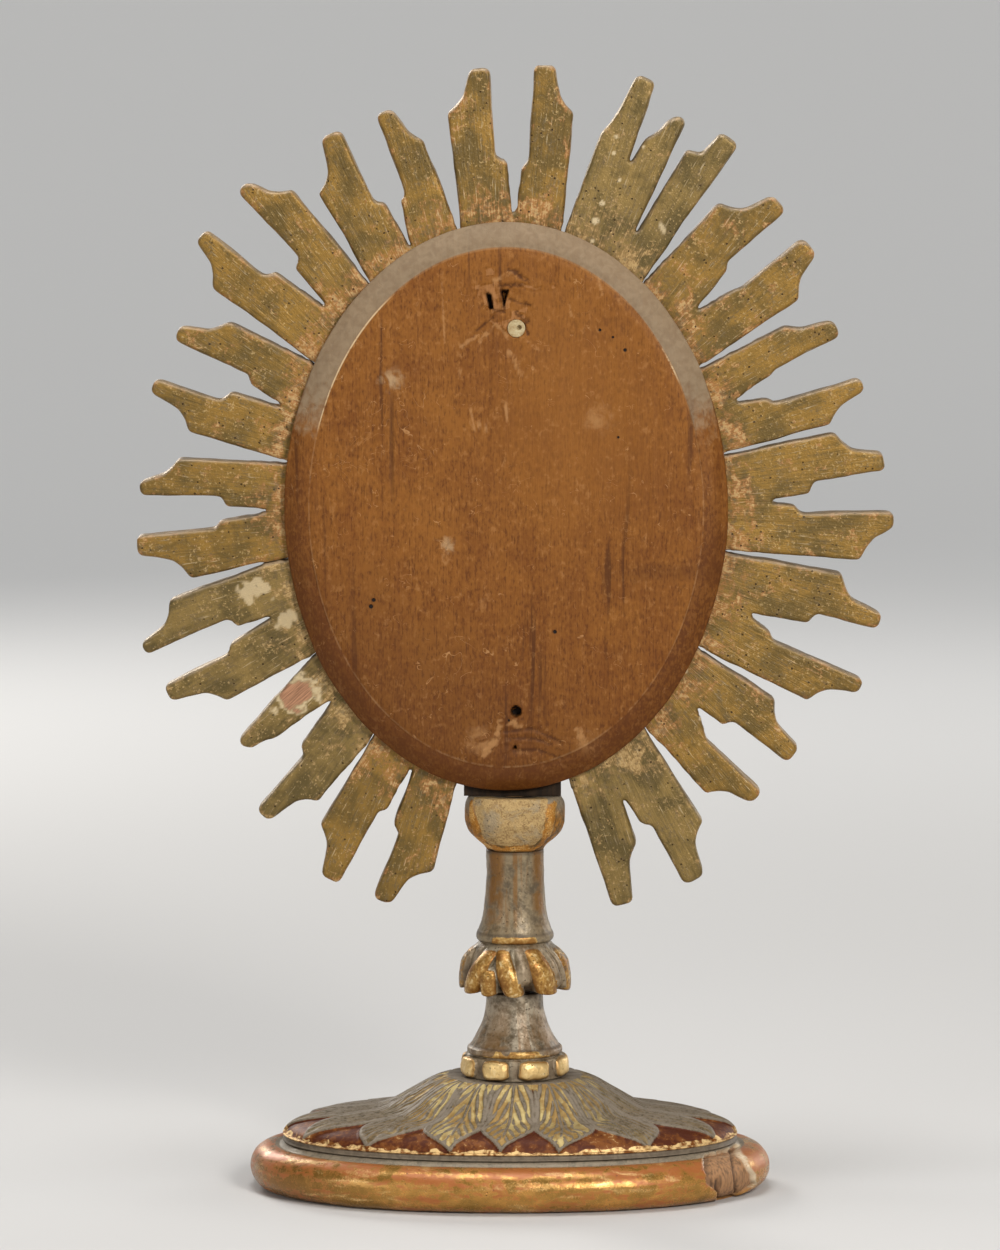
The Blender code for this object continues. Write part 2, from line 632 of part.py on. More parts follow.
def ray_groups():
    """Fifteen groups of rays, numbered clockwise from the top as seen from behind.

    The two beside the stem are cut clear of the capital.
    """
    made = []
    for number, group in enumerate(GROUPS, start=1):
        kind = "trio" if len(group.rays) == 3 else "pair"
        rays = slab(f"ray_{kind}_{number:02d}", group_outline(group), RAY_BACK, RAY_FRONT,
                    OLD_GILDING, RAY_EDGE)
        if number in (STEM_SEAM, STEM_SEAM + 1):
            rings = [round_ring(CAPITAL_RADIUS + FIT, z) for z in (CAPITAL_Z, BLOCK_Z)]
            combine(rays, loft(f"{rays.name}_capital_space", rings, RAW_WOOD), "DIFFERENCE")
        made.append(rays)
    return made


def root_block():
    """Block that fills the rays' layer over the capital and takes the tenon."""
    start, end = SEAMS[STEM_SEAM][0], SEAMS[STEM_SEAM + 1][0]
    steps = 6
    arc = []
    for i in range(steps + 1):
        bearing = start + (end - start) * i / steps
        aside = ROOT_BLOCK_CLEAR if i == 0 else -ROOT_BLOCK_CLEAR if i == steps else 0.0
        radius = edge_radius(bearing, TONGUE_A, TONGUE_B)
        arc.append(at_bearing(bearing, radius, aside))
    floor = BLOCK_Z - HEAD_Z
    outline = [Vector((arc[0].x, floor)), *arc, Vector((arc[-1].x, floor))]
    return slab("root_block", outline, RAY_BACK, RAY_FRONT, RAW_WOOD)


def mortise(name):
    """The space that the tenon needs, with its clearance, open at the bottom."""
    half_width = TENON_WIDTH / 2 + SLIDE_FIT
    half_depth = TENON_DEPTH / 2 + SLIDE_FIT
    return box(name, (-half_width, -half_depth, CAPITAL_TOP - 5.0),
               (half_width, half_depth, TENON_TOP + SLIDE_FIT))


def window_frame():
    """Moulded oval ring with a window at the front and a rebate for the rays behind."""
    outer_a, outer_b = BOARD_A - FRAME_SETBACK, BOARD_B - FRAME_SETBACK
    wall_a, wall_b = COMPARTMENT_A, COMPARTMENT_B
    depth = FRAME_FRONT - GLASS_SHOULDER
    rings = [head_ring(wall_a, wall_b, FRAME_BACK), head_ring(wall_a, wall_b, GLASS_SHOULDER)]
    mouldings = ((-0.10, 0.0), (-0.10, 0.50), (-0.04, 0.78), (0.06, 0.88), (0.14, 0.60), (0.34, 0.36),
                 (0.52, 0.40), (0.64, 0.80), (0.78, 1.0), (0.92, 0.72), (1.0, 0.10))
    for share, height in mouldings:
        if share < 0:
            a = wall_a + share * SIGHT_LIP / 0.10
            b = wall_b + share * SIGHT_LIP / 0.10
        else:
            a = wall_a + share * (outer_a - wall_a)
            b = wall_b + share * (outer_b - wall_b)
        rings.append(head_ring(a, b, GLASS_SHOULDER + height * depth))
    rings += [head_ring(outer_a, outer_b, RAY_FRONT + FIT),
              head_ring(TONGUE_A - FIT, TONGUE_B - FIT, RAY_FRONT + FIT),
              head_ring(TONGUE_A - FIT, TONGUE_B - FIT, FRAME_BACK)]
    frame = loft("window_frame", rings, GILDING, closed=True)
    combine(frame, mortise("frame_mortise"), "DIFFERENCE")
    for name, place, radius in (("upper_peg_socket", UPPER_PEG_AT, UPPER_PEG_RADIUS),
                                ("lower_peg_socket", LOWER_PEG_AT, LOWER_PEG_RADIUS)):
        rings = [peg_ring(place, radius + FIT, FRAME_BACK - 5.0),
                 peg_ring(place, radius + FIT, FRAME_BACK + PEG_REACH + FIT)]
        combine(frame, loft(name, rings, RAW_WOOD), "DIFFERENCE")
    return frame


def oval_plate(name, a, b, back, front, finish):
    """A thin oval plate."""
    return loft(name, [head_ring(a, b, back), head_ring(a, b, front)], finish)


def glazing():
    """Window glass in its rebate and the fillet that holds it."""
    a, b = COMPARTMENT_A - FIT, COMPARTMENT_B - FIT
    oval_plate("window_glass", a, b, GLASS_BACK, GLASS_FRONT, GLASS)
    inner_a, inner_b = a - FILLET_WIDTH, b - FILLET_WIDTH
    rings = [head_ring(inner_a, inner_b, FILLET_FRONT), head_ring(a, b, FILLET_FRONT),
             head_ring(a, b, FILLET_BACK), head_ring(inner_a + 1.5, inner_b + 1.5, FILLET_BACK)]
    loft("glass_fillet", rings, RAW_WOOD, closed=True)


# ---------------------------------------------------------------- back board and relic mount

def back_board():
    """Oval board with a wide bevel, two slots, two peg holes and a nail hole."""
    field_a, field_b = BOARD_A - BEVEL_WIDTH, BOARD_B - BEVEL_WIDTH
    rings = [head_ring(field_a, field_b, BOARD_BACK, lift=BOARD_LIFT),
             head_ring(BOARD_A, BOARD_B, BOARD_FRONT - BOARD_EDGE, lift=BOARD_LIFT),
             head_ring(BOARD_A, BOARD_B, BOARD_FRONT, lift=BOARD_LIFT)]
    board = loft("back_board", rings, WOOD)
    through = (BOARD_BACK - 5.0, BOARD_FRONT + 5.0)
    holes = (("upper_peg_hole", UPPER_PEG_AT, UPPER_PEG_RADIUS + FIT, through),
             ("lower_peg_hole", LOWER_PEG_AT, LOWER_PEG_RADIUS + FIT, through),
             ("nail_hole", NAIL_HOLE_AT, NAIL_HOLE_RADIUS,
              (BOARD_BACK - 5.0, BOARD_BACK + NAIL_HOLE_DEPTH)))
    for name, place, radius, (back, front) in holes:
        rings = [peg_ring(place, radius, back), peg_ring(place, radius, front)]
        combine(board, loft(name, rings, RAW_WOOD), "DIFFERENCE")
    width, height = SLOT_SIZE
    for number, (x, z) in enumerate(SLOTS_AT, start=1):
        low = (HEAD_X + x - width / 2, through[0], HEAD_Z + z - height / 2)
        high = (HEAD_X + x + width / 2, through[1], HEAD_Z + z + height / 2)
        combine(board, box(f"board_slot_{number}", low, high), "DIFFERENCE")
    return board


def pegs():
    """Upper peg, flush and pricked in its end, and lower peg, broken off below the surface."""
    end = FRAME_BACK + PEG_REACH
    upper = [peg_ring(UPPER_PEG_AT, UPPER_PEG_RADIUS - 0.5, BOARD_BACK - 0.1),
             peg_ring(UPPER_PEG_AT, UPPER_PEG_RADIUS, BOARD_BACK + 0.4),
             peg_ring(UPPER_PEG_AT, UPPER_PEG_RADIUS, end - 1.0),
             peg_ring(UPPER_PEG_AT, UPPER_PEG_RADIUS - 0.8, end)]
    peg = loft("upper_peg", upper, PLUG_WOOD)
    x, z = UPPER_PEG_AT
    place = (x + 1.3, z + 0.6)
    prick = [peg_ring(place, PRICK_RADIUS, BOARD_BACK - 5.0),
             peg_ring(place, PRICK_RADIUS, BOARD_BACK + 3.0)]
    combine(peg, loft("peg_prick", prick, RAW_WOOD), "DIFFERENCE")
    lower = [peg_ring(LOWER_PEG_AT, LOWER_PEG_RADIUS, BOARD_BACK + LOWER_PEG_SUNK, 0.9),
             peg_ring(LOWER_PEG_AT, LOWER_PEG_RADIUS, end - 1.0),
             peg_ring(LOWER_PEG_AT, LOWER_PEG_RADIUS - 0.6, end)]
    loft("lower_peg", lower, PLUG_WOOD)


def relic_mount():
    """Silk panel on the board, with a small glazed oval case and the packet inside it."""
    oval_plate("relic_panel", COMPARTMENT_A - SLIDE_FIT, COMPARTMENT_B - SLIDE_FIT, PANEL_BACK,
               PANEL_FRONT, SILK)
    a, b = CASE_A, CASE_B
    floor = CASE_BACK + CASE_WALL
    seat = CASE_FRONT - CASE_GLASS - FIT
    inner_a, inner_b = a - CASE_WALL - 1.0, b - CASE_WALL - 1.0
    seat_a, seat_b = a - CASE_WALL + 0.4, b - CASE_WALL + 0.4
    sides = PEG_SIDES + 8
    rings = [head_ring(a - 1.0, b - 1.0, CASE_BACK, sides), head_ring(a, b, CASE_BACK + 1.0, sides),
             head_ring(a, b, CASE_FRONT - 0.4, sides), head_ring(a - 0.4, b - 0.4, CASE_FRONT, sides),
             head_ring(seat_a, seat_b, CASE_FRONT, sides), head_ring(seat_a, seat_b, seat, sides),
             head_ring(inner_a, inner_b, seat, sides), head_ring(inner_a, inner_b, floor, sides)]
    loft("relic_case", rings, BRASS)
    rings = [head_ring(seat_a - FIT, seat_b - FIT, y, sides)
             for y in (seat + FIT, seat + FIT + CASE_GLASS)]
    loft("relic_case_glass", rings, GLASS)
    low = floor + FIT
    rings = []
    for share, height in ((0.62, 0.0), (0.78, 0.2), (0.80, 0.6), (0.64, 0.9), (0.40, 1.0)):
        rings.append(head_ring(share * inner_a, share * inner_b, low + height * PACKET_THICKNESS, sides))
    loft("relic_packet", rings, LINEN)


def main():
    """Make every piece of the monstrance."""
    clear_scene()
    foot_plinth()
    foot_dome()
    collar()
    lower_baluster()
    leaf_knop()
    upper_baluster()
    capital()
    stem_spindle()
    ray_groups()
    block = root_block()
    combine(block, mortise("block_mortise"), "DIFFERENCE")
    window_frame()
    glazing()
    back_board()
    pegs()
    relic_mount()


main()
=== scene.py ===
"""Looks of a carved and gilded wooden reliquary monstrance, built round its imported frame.

The bevelled back faces -Y and the window faces +Y. Lengths are in millimetres until a mesh is made,
and angles round the stem are measured from the back, which the camera sees, towards +X.
"""

from __future__ import annotations

import logging
import math
from dataclasses import dataclass
from enum import Enum
from typing import Any, Callable, Sequence

import bmesh
import bpy
import numpy as np
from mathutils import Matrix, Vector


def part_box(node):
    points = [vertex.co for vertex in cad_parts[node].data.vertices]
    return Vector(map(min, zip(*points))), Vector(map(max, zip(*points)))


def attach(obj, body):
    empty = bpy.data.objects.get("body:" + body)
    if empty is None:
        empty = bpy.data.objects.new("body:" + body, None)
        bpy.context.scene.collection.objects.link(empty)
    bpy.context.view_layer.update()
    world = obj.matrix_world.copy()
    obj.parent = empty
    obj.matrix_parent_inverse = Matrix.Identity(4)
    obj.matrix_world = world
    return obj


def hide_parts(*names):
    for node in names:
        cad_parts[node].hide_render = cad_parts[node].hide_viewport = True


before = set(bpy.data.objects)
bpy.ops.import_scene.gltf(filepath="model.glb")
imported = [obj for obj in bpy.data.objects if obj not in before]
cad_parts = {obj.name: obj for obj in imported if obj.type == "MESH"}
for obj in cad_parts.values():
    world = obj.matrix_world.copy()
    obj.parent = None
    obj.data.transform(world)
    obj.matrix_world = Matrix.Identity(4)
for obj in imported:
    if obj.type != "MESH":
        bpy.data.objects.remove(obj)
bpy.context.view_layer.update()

Array = np.ndarray
Colour = tuple[float, float, float]
log = logging.getLogger("monstrance")

MM = 0.001
BORE = 7.3
HEAD_X, HEAD_Z = -4.0, 307.5
BOARD_A, BOARD_B = 99.5, 127.5
TILT = np.array([[0.8, 0.0, 0.22], [0.0, 1.0, 0.0], [-0.6, 0.0, 0.29]])


class Body(Enum):
    """The three bodies that pieces ride on."""

    STAND = "stand"
    HEAD = "head"
    BACK = "back"


# ------------------------------------------------------------------ numbers over a surface

def lattice(cells: Array, seed: int) -> Array:
    """Random numbers, one for each whole-numbered cell.

    Formula: the three indices are multiplied by large odd numbers, joined with xor and mixed.

    Args:
        cells: Whole numbers, shape (..., 3).
        seed: Picks one of many such lattices.

    Returns:
        Numbers in [-1, 1], shape (...).
    """
    x, y, z = (cells[..., i].astype(np.int64).view(np.uint64) for i in range(3))
    mixed = (x * np.uint64(73856093)) ^ (y * np.uint64(19349663)) ^ (z * np.uint64(83492791))
    mixed = (mixed ^ np.uint64(seed * 2654435761 % 2**32)) & np.uint64(0xFFFFFFFF)
    for shift, factor in ((15, 2246822519), (13, 3266489917)):
        mixed = ((mixed ^ (mixed >> np.uint64(shift))) * np.uint64(factor)) & np.uint64(0xFFFFFFFF)
    return (mixed ^ (mixed >> np.uint64(16))).astype(float) / 2147483647.5 - 1.0


def value_noise(points: Array, cell: float, seed: int, octaves: int = 1) -> Array:
    """Smooth seeded noise.

    Formula: the eight lattice numbers round a point, blended along each axis by 3t^2 - 2t^3.
    Octave k adds 2^-k of the same at cell / 2^k.

    Args:
        points: Places, shape (..., 3).
        cell: Size of one lattice cell.
        seed: Picks the lattice.
        octaves: How many sizes are added together.

    Returns:
        Numbers of about [-1, 1], shape (...).
    """
    total = np.zeros(points.shape[:-1])
    for octave in range(octaves):
        place = points / (cell / 2**octave)
        corner = np.floor(place)
        t = place - corner
        t = t * t * (3 - 2 * t)
        for index in range(8):
            offset = np.array([index & 1, index >> 1 & 1, index >> 2 & 1])
            weight = np.where(offset, t, 1 - t).prod(-1)
            total += weight * lattice(corner + offset, seed + 17 * octave) / 2**octave
    return total


def rise(low: float | Array, high: float | Array, value: Array) -> Array:
    """0 below low, 1 above high, and 3t^2 - 2t^3 between them."""
    t = np.clip((value - low) / (high - low), 0.0, 1.0)
    return t * t * (3 - 2 * t)


def bell(value: Array, width: float) -> Array:
    """exp(-(value / width)^2)."""
    return np.exp(-((value / width) ** 2))


def spline(points: Sequence[Sequence[float]], count: int) -> Array:
    """Even steps along a smooth curve through some points.

    Formula: Catmull-Rom cubics between neighbours, then linear steps of equal arc length.

    Args:
        points: The points to pass through, shape (n, k).
        count: How many steps to give.

    Returns:
        Points along the curve, shape (count, k).
    """
    knots = np.asarray(points, float)
    ends = np.vstack([2 * knots[0] - knots[1], knots, 2 * knots[-1] - knots[-2]])
    u = np.linspace(0, len(knots) - 1, 30 * len(knots))
    k = np.minimum(u.astype(int), len(knots) - 2)
    t = (u - k)[:, None]
    a, b, c, d = ends[k], ends[k + 1], ends[k + 2], ends[k + 3]
    curve = 0.5 * (2 * b + (c - a) * t + (2 * a - 5 * b + 4 * c - d) * t**2
                   + (3 * b - a - 3 * c + d) * t**3)
    length = np.append(0, np.cumsum(np.linalg.norm(np.diff(curve, axis=0), axis=1)))
    steps = np.linspace(0, length[-1], count)
    return np.stack([np.interp(steps, length, column) for column in curve.T], axis=1)


def turn(count: int) -> Array:
    """Equal steps round a full turn."""
    return np.linspace(0, 2 * math.pi, count, endpoint=False)


def wrapped(angle: Array) -> Array:
    """The same angle between -pi and pi."""
    return (angle + math.pi) % (2 * math.pi) - math.pi


def box_mm(node: str) -> tuple[Array, Array]:
    """Lowest and highest corners of a frame node in millimetres."""
    low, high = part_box(node)
    return np.array(low) / MM, np.array(high) / MM


def heights(node: str) -> tuple[float, float]:
    """Bottom and top of a frame node in millimetres."""
    low, high = box_mm(node)
    return low[2], high[2]


def oval_of(node: str) -> tuple[float, float, float, float]:
    """Half width, half height, lowest y and highest y of an upright oval node."""
    low, high = box_mm(node)
    return (high[0] - low[0]) / 2, (high[2] - low[2]) / 2, low[1], high[1]


def upright(rows: Array, angles: Array, lift: float = 0.0) -> Array:
    """Upright ovals about the head's middle.

    Formula: x = a sin(angle), z = b cos(angle), both from the middle.

    Args:
        rows: Half width, half height and y of each oval, shape (m, 3).
        angles: The n angles, from the top towards +X.
        lift: Added to the heights.

    Returns:
        Points, shape (m, n, 3).
    """
    a, b, y = (rows[:, i, None] for i in range(3))
    y = np.broadcast_to(y, (len(rows), len(angles)))
    return np.stack([HEAD_X + a * np.sin(angles), y, HEAD_Z + lift + b * np.cos(angles)], -1)


def darker(colour: Colour, share: float) -> Colour:
    """A colour with each part multiplied."""
    return tuple(share * part for part in colour)


# ------------------------------------------------------------------ meshes

def build(name: str, points: Array, faces: Sequence[Array]) -> bpy.types.Object:
    """Make a smooth-shaded object from whole arrays, its faces turned outwards.

    Formula: if the sum of det(a, b, c) over the triangles is below 0, each face is reversed.

    Args:
        name: The object's name.
        points: Corners in millimetres, shape (n, 3).
        faces: Arrays of corner indices, one for each number of corners a face.

    Returns:
        The linked object.
    """
    volume = 0.0
    for group in faces:
        for i in range(1, group.shape[1] - 1):
            volume += np.linalg.det(points[group[:, [0, i, i + 1]]]).sum()
    if volume < 0:
        faces = [group[:, ::-1] for group in faces]
    mesh = bpy.data.meshes.new(name)
    mesh.vertices.add(len(points))
    mesh.vertices.foreach_set("co", (points * MM).astype(np.float32).ravel())
    corners = np.concatenate([group.ravel() for group in faces]).astype(np.int32)
    sizes = np.concatenate([np.full(len(group), group.shape[1]) for group in faces])
    starts = np.append(0, np.cumsum(sizes)[:-1]).astype(np.int32)
    mesh.loops.add(len(corners))
    mesh.loops.foreach_set("vertex_index", corners)
    mesh.polygons.add(len(sizes))
    mesh.polygons.foreach_set("loop_start", starts)
    mesh.update(calc_edges=True)
    mesh.validate()
    mesh.shade_smooth()
    obj = bpy.data.objects.new(name, mesh)
    bpy.context.scene.collection.objects.link(obj)
    return obj


def skin(name: str, rings: Array, closed: bool = False) -> bpy.types.Object:
    """Cover a stack of closed rings.

    Formula: each pair of neighbouring steps on two neighbouring rings gives one quad.

    Args:
        name: The object's name.
        rings: Points, shape (rings, steps, 3).
        closed: Join the last ring to the first. If not, a fan closes each end at its middle.

    Returns:
        The object.
    """
    m, n, _ = rings.shape
    points = rings.reshape(-1, 3)
    row = np.arange(m if closed else m - 1)[:, None] * n
    step = np.arange(n)[None, :]
    after = (step + 1) % n
    above = (row + n) % (m * n)
    faces = [np.stack([row + step, row + after, above + after, above + step], -1).reshape(-1, 4)]
    if not closed:
        middles = np.stack([rings[0].mean(0), rings[-1].mean(0)])
        points = np.vstack([points, middles])
        here, there = step[0], after[0]
        first = np.stack([np.full(n, m * n), there, here], -1)
        last = np.stack([np.full(n, m * n + 1), (m - 1) * n + here, (m - 1) * n + there], -1)
        faces.append(np.vstack([first, last]))
    return build(name, points, faces)


def store(obj: bpy.types.Object, **values: Array) -> None:
    """Keep numbers at the corners of a mesh.

    Args:
        obj: The piece.
        values: Numbers by name. Corners past the end of an array, the poles, get 0.
    """
    for name, numbers in values.items():
        flat = np.zeros(len(obj.data.vertices), np.float32)
        given = np.asarray(numbers, np.float32).ravel()
        flat[: len(given)] = given
        attribute = obj.data.attributes.new(name, "FLOAT", "POINT")
        attribute.data.foreach_set("value", flat)


def read(items: Any, what: str, kind: type, width: int) -> Array:
    """Read what every item of a mesh keeps.

    Args:
        items: A mesh's corners or edges.
        what: The value's name.
        kind: Type of its numbers.
        width: Numbers for each item.

    Returns:
        The numbers, shape (count, width).
    """
    raw = np.empty(len(items) * width, kind)
    items.foreach_get(what, raw)
    return raw.reshape(-1, width)


def move_to(mesh: bpy.types.Mesh, points: Array) -> None:
    """Put a mesh's corners at new places in millimetres."""
    mesh.vertices.foreach_set("co", (points * MM).astype(np.float32).ravel())
    mesh.update()


def revolve(profile: Array, around: Array) -> Array:
    """Rings round the stem's axis.

    Formula: x = r sin(angle), y = -r cos(angle), z = height.

    Args:
        profile: Radius and height, shape (m, 2) or (m, n, 2).
        around: The n angles.

    Returns:
        Points, shape (m, n, 3).
    """
    if profile.ndim == 2:
        profile = np.repeat(profile[:, None, :], len(around), axis=1)
    radius, height = profile[..., 0], profile[..., 1]
    return np.stack([radius * np.sin(around), -radius * np.cos(around), height], -1)


def put(obj: bpy.types.Object, body: Body, node: str) -> None:
    """Let a finished piece ride on a body in place of a frame node, and report it.

    Args:
        obj: The piece.
        body: The body it rides on.
        node: The frame node that it replaces.
    """
    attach(obj, body.value)
    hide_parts(node)
    log.info("%s: %d faces, rides on %s", obj.name, len(obj.data.polygons), body.value)


# ------------------------------------------------------------------ shader maths

def maths(operation: str, swapped: bool = False) -> Callable[..., Socket]:
    """Make a method of Socket that adds one Math node.

    Args:
        operation: What the node does.
        swapped: Put the other value first.

    Returns:
        The method, which gives the node's output.
    """
    def method(self: Socket, *others: Socket | float) -> Socket:
        """Add the node and give its output."""
        values = (*others, self) if swapped else (self, *others)
        return self.graph.node("ShaderNodeMath", {"operation": operation}, dict(enumerate(values)))

    return method


class Socket:
    """An output of a shader node. Its arithmetic adds Math nodes."""

    __add__ = __radd__ = maths("ADD")
    __sub__, __rsub__ = maths("SUBTRACT"), maths("SUBTRACT", swapped=True)
    __mul__ = __rmul__ = maths("MULTIPLY")
    __truediv__, __pow__ = maths("DIVIDE"), maths("POWER")
    __abs__, sine = maths("ABSOLUTE"), maths("SINE")
    larger, bearing = maths("MAXIMUM"), maths("ARCTAN2")

    def __init__(self, graph: Graph, link: bpy.types.NodeSocket) -> None:
        """Wrap one output socket of a graph."""
        self.graph = graph
        self.link = link

    def band(self, low: float, high: float) -> Socket:
        """A smooth step, up or down.

        Args:
            low: Value where it is 0.
            high: Value where it is 1, below low for a step down.

        Returns:
            The share, from 0 to 1.
        """
        settings = {"interpolation_type": "SMOOTHSTEP"}
        if low > high:
            return 1 - self.band(high, low)
        return self.graph.node("ShaderNodeMapRange", settings, {0: self, 1: low, 2: high})


class Graph:
    """One material: a Principled shader and the nodes that feed it."""

    def __init__(self, name: str) -> None:
        """Make an empty material.

        Args:
            name: The material's name.
        """
        self.material = bpy.data.materials.new(name)
        self.material.use_nodes = True
        self.tree = self.material.node_tree
        self.shader = self.tree.nodes["Principled BSDF"]
        self.colour: Socket | Colour = (1.0, 1.0, 1.0)

    def node(self, kind: str, settings: dict[str, Any], sockets: dict[int | str, Any],
             out: int | str = 0) -> Socket:
        """Add any node.

        Args:
            kind: The node's type.
            settings: Its properties, set first.
            sockets: Values or links for its inputs, by index or name.
            out: Which output to give.

        Returns:
            That output.
        """
        made = self.tree.nodes.new(kind)
        for name, value in settings.items():
            setattr(made, name, value)
        for key, value in sockets.items():
            self.feed(made.inputs[key], value)
        return Socket(self, made.outputs[out])

    def feed(self, socket: bpy.types.NodeSocket, value: Any) -> None:
        """Link or set one input.

        Args:
            socket: The input.
            value: What to feed it: a socket, a colour, a vector or a number.
        """
        if isinstance(value, Socket):
            self.tree.links.new(value.link, socket)
        elif socket.type == "RGBA":
            socket.default_value = (*value, 1.0)
        else:
            socket.default_value = value

    def place(self) -> Socket:
        """Object coordinates in millimetres."""
        raw = self.node("ShaderNodeTexCoord", {}, {}, "Object")
        return self.node("ShaderNodeVectorMath", {"operation": "SCALE"}, {0: raw, 3: 1 / MM})

    def split(self, vector: Socket) -> tuple[Socket, Socket, Socket]:
        """Take a vector apart.

        Args:
            vector: The vector.

        Returns:
            Its three parts.
        """
        first = self.node("ShaderNodeSeparateXYZ", {}, {0: vector})
        outputs = first.link.node.outputs
        return first, Socket(self, outputs[1]), Socket(self, outputs[2])

    def join(self, x: Socket | float, y: Socket | float, z: Socket | float) -> Socket:
        """A vector from three parts."""
        return self.node("ShaderNodeCombineXYZ", {}, {0: x, 1: y, 2: z})

    def stretch(self, vector: Socket, by: Sequence[float]) -> Socket:
        """A vector with each part multiplied."""
        return self.node("ShaderNodeVectorMath", {"operation": "MULTIPLY"}, {0: vector, 1: by})

    def stored(self, name: str) -> Socket:
        """A number kept at the mesh's corners."""
        return self.node("ShaderNodeAttribute", {"attribute_name": name}, {}, "Fac")

    def noise(self, vector: Socket, size: float, detail: float = 2.0, twist: float = 0.0) -> Socket:
        """Soft noise.

        Args:
            vector: Place in millimetres.
            size: Size of the patches.
            detail: Rounds of finer noise.
            twist: How far the patches curl.

        Returns:
            Noise from 0 to 1, mostly near 0.5.
        """
        return self.node("ShaderNodeTexNoise", {},
                         {"Vector": vector, "Scale": 1 / size, "Detail": detail,
                          "Roughness": 0.55, "Distortion": twist})

    def cells(self, vector: Socket, size: float) -> Socket:
        """Distance from the middle of the nearest scattered cell, in cells."""
        return self.node("ShaderNodeTexVoronoi", {}, {"Vector": vector, "Scale": 1 / size}, "Distance")

    def mix(self, share: Socket | float, first: Socket | Colour,
            second: Socket | Colour) -> Socket:
        """Colour between first and second."""
        return self.node("ShaderNodeMix", {"data_type": "RGBA"}, {0: share, 6: first, 7: second}, 2)

    def tint(self, value: Socket, stops: Sequence[tuple[float, Colour]]) -> Socket:
        """Colour ramp.

        Args:
            value: What is looked up.
            stops: Places along the ramp with their colours.

        Returns:
            The colour.
        """
        result = self.node("ShaderNodeValToRGB", {}, {0: value})
        ramp = result.link.node.color_ramp
        while len(ramp.elements) < len(stops):
            ramp.elements.new(1.0)
        for element, (position, colour) in zip(ramp.elements, stops):
            element.position = position
            element.color = (*colour, 1.0)
        return result

    def lay(self, colour: Socket | Colour, share: Socket | float) -> None:
        """Lay a colour over the base colour."""
        self.colour = self.mix(share, self.colour, colour)

    def finish(self, obj: bpy.types.Object, roughness: Socket | float,
               height: Socket | None = None, metal: Socket | float = 0.0,
               fixed: dict[str, float] | None = None) -> None:
        """Feed the shader with the base colour and the rest, and dress an object.

        Args:
            obj: The object to dress. It loses any other material.
            roughness: Roughness.
            height: Fine relief in millimetres.
            metal: Metallic value.
            fixed: Values of other sockets, the same all over.
        """
        self.feed(self.shader.inputs["Base Color"], self.colour)
        self.feed(self.shader.inputs["Roughness"], roughness)
        self.feed(self.shader.inputs["Metallic"], metal)
        for name, value in (fixed or {}).items():
            self.feed(self.shader.inputs[name], value)
        if height is not None:
            normal = self.node("ShaderNodeBump", {}, {"Height": height, "Distance": MM})
            self.feed(self.shader.inputs["Normal"], normal)
        obj.data.materials.clear()
        obj.data.materials.append(self.material)


# ------------------------------------------------------------------ finishes

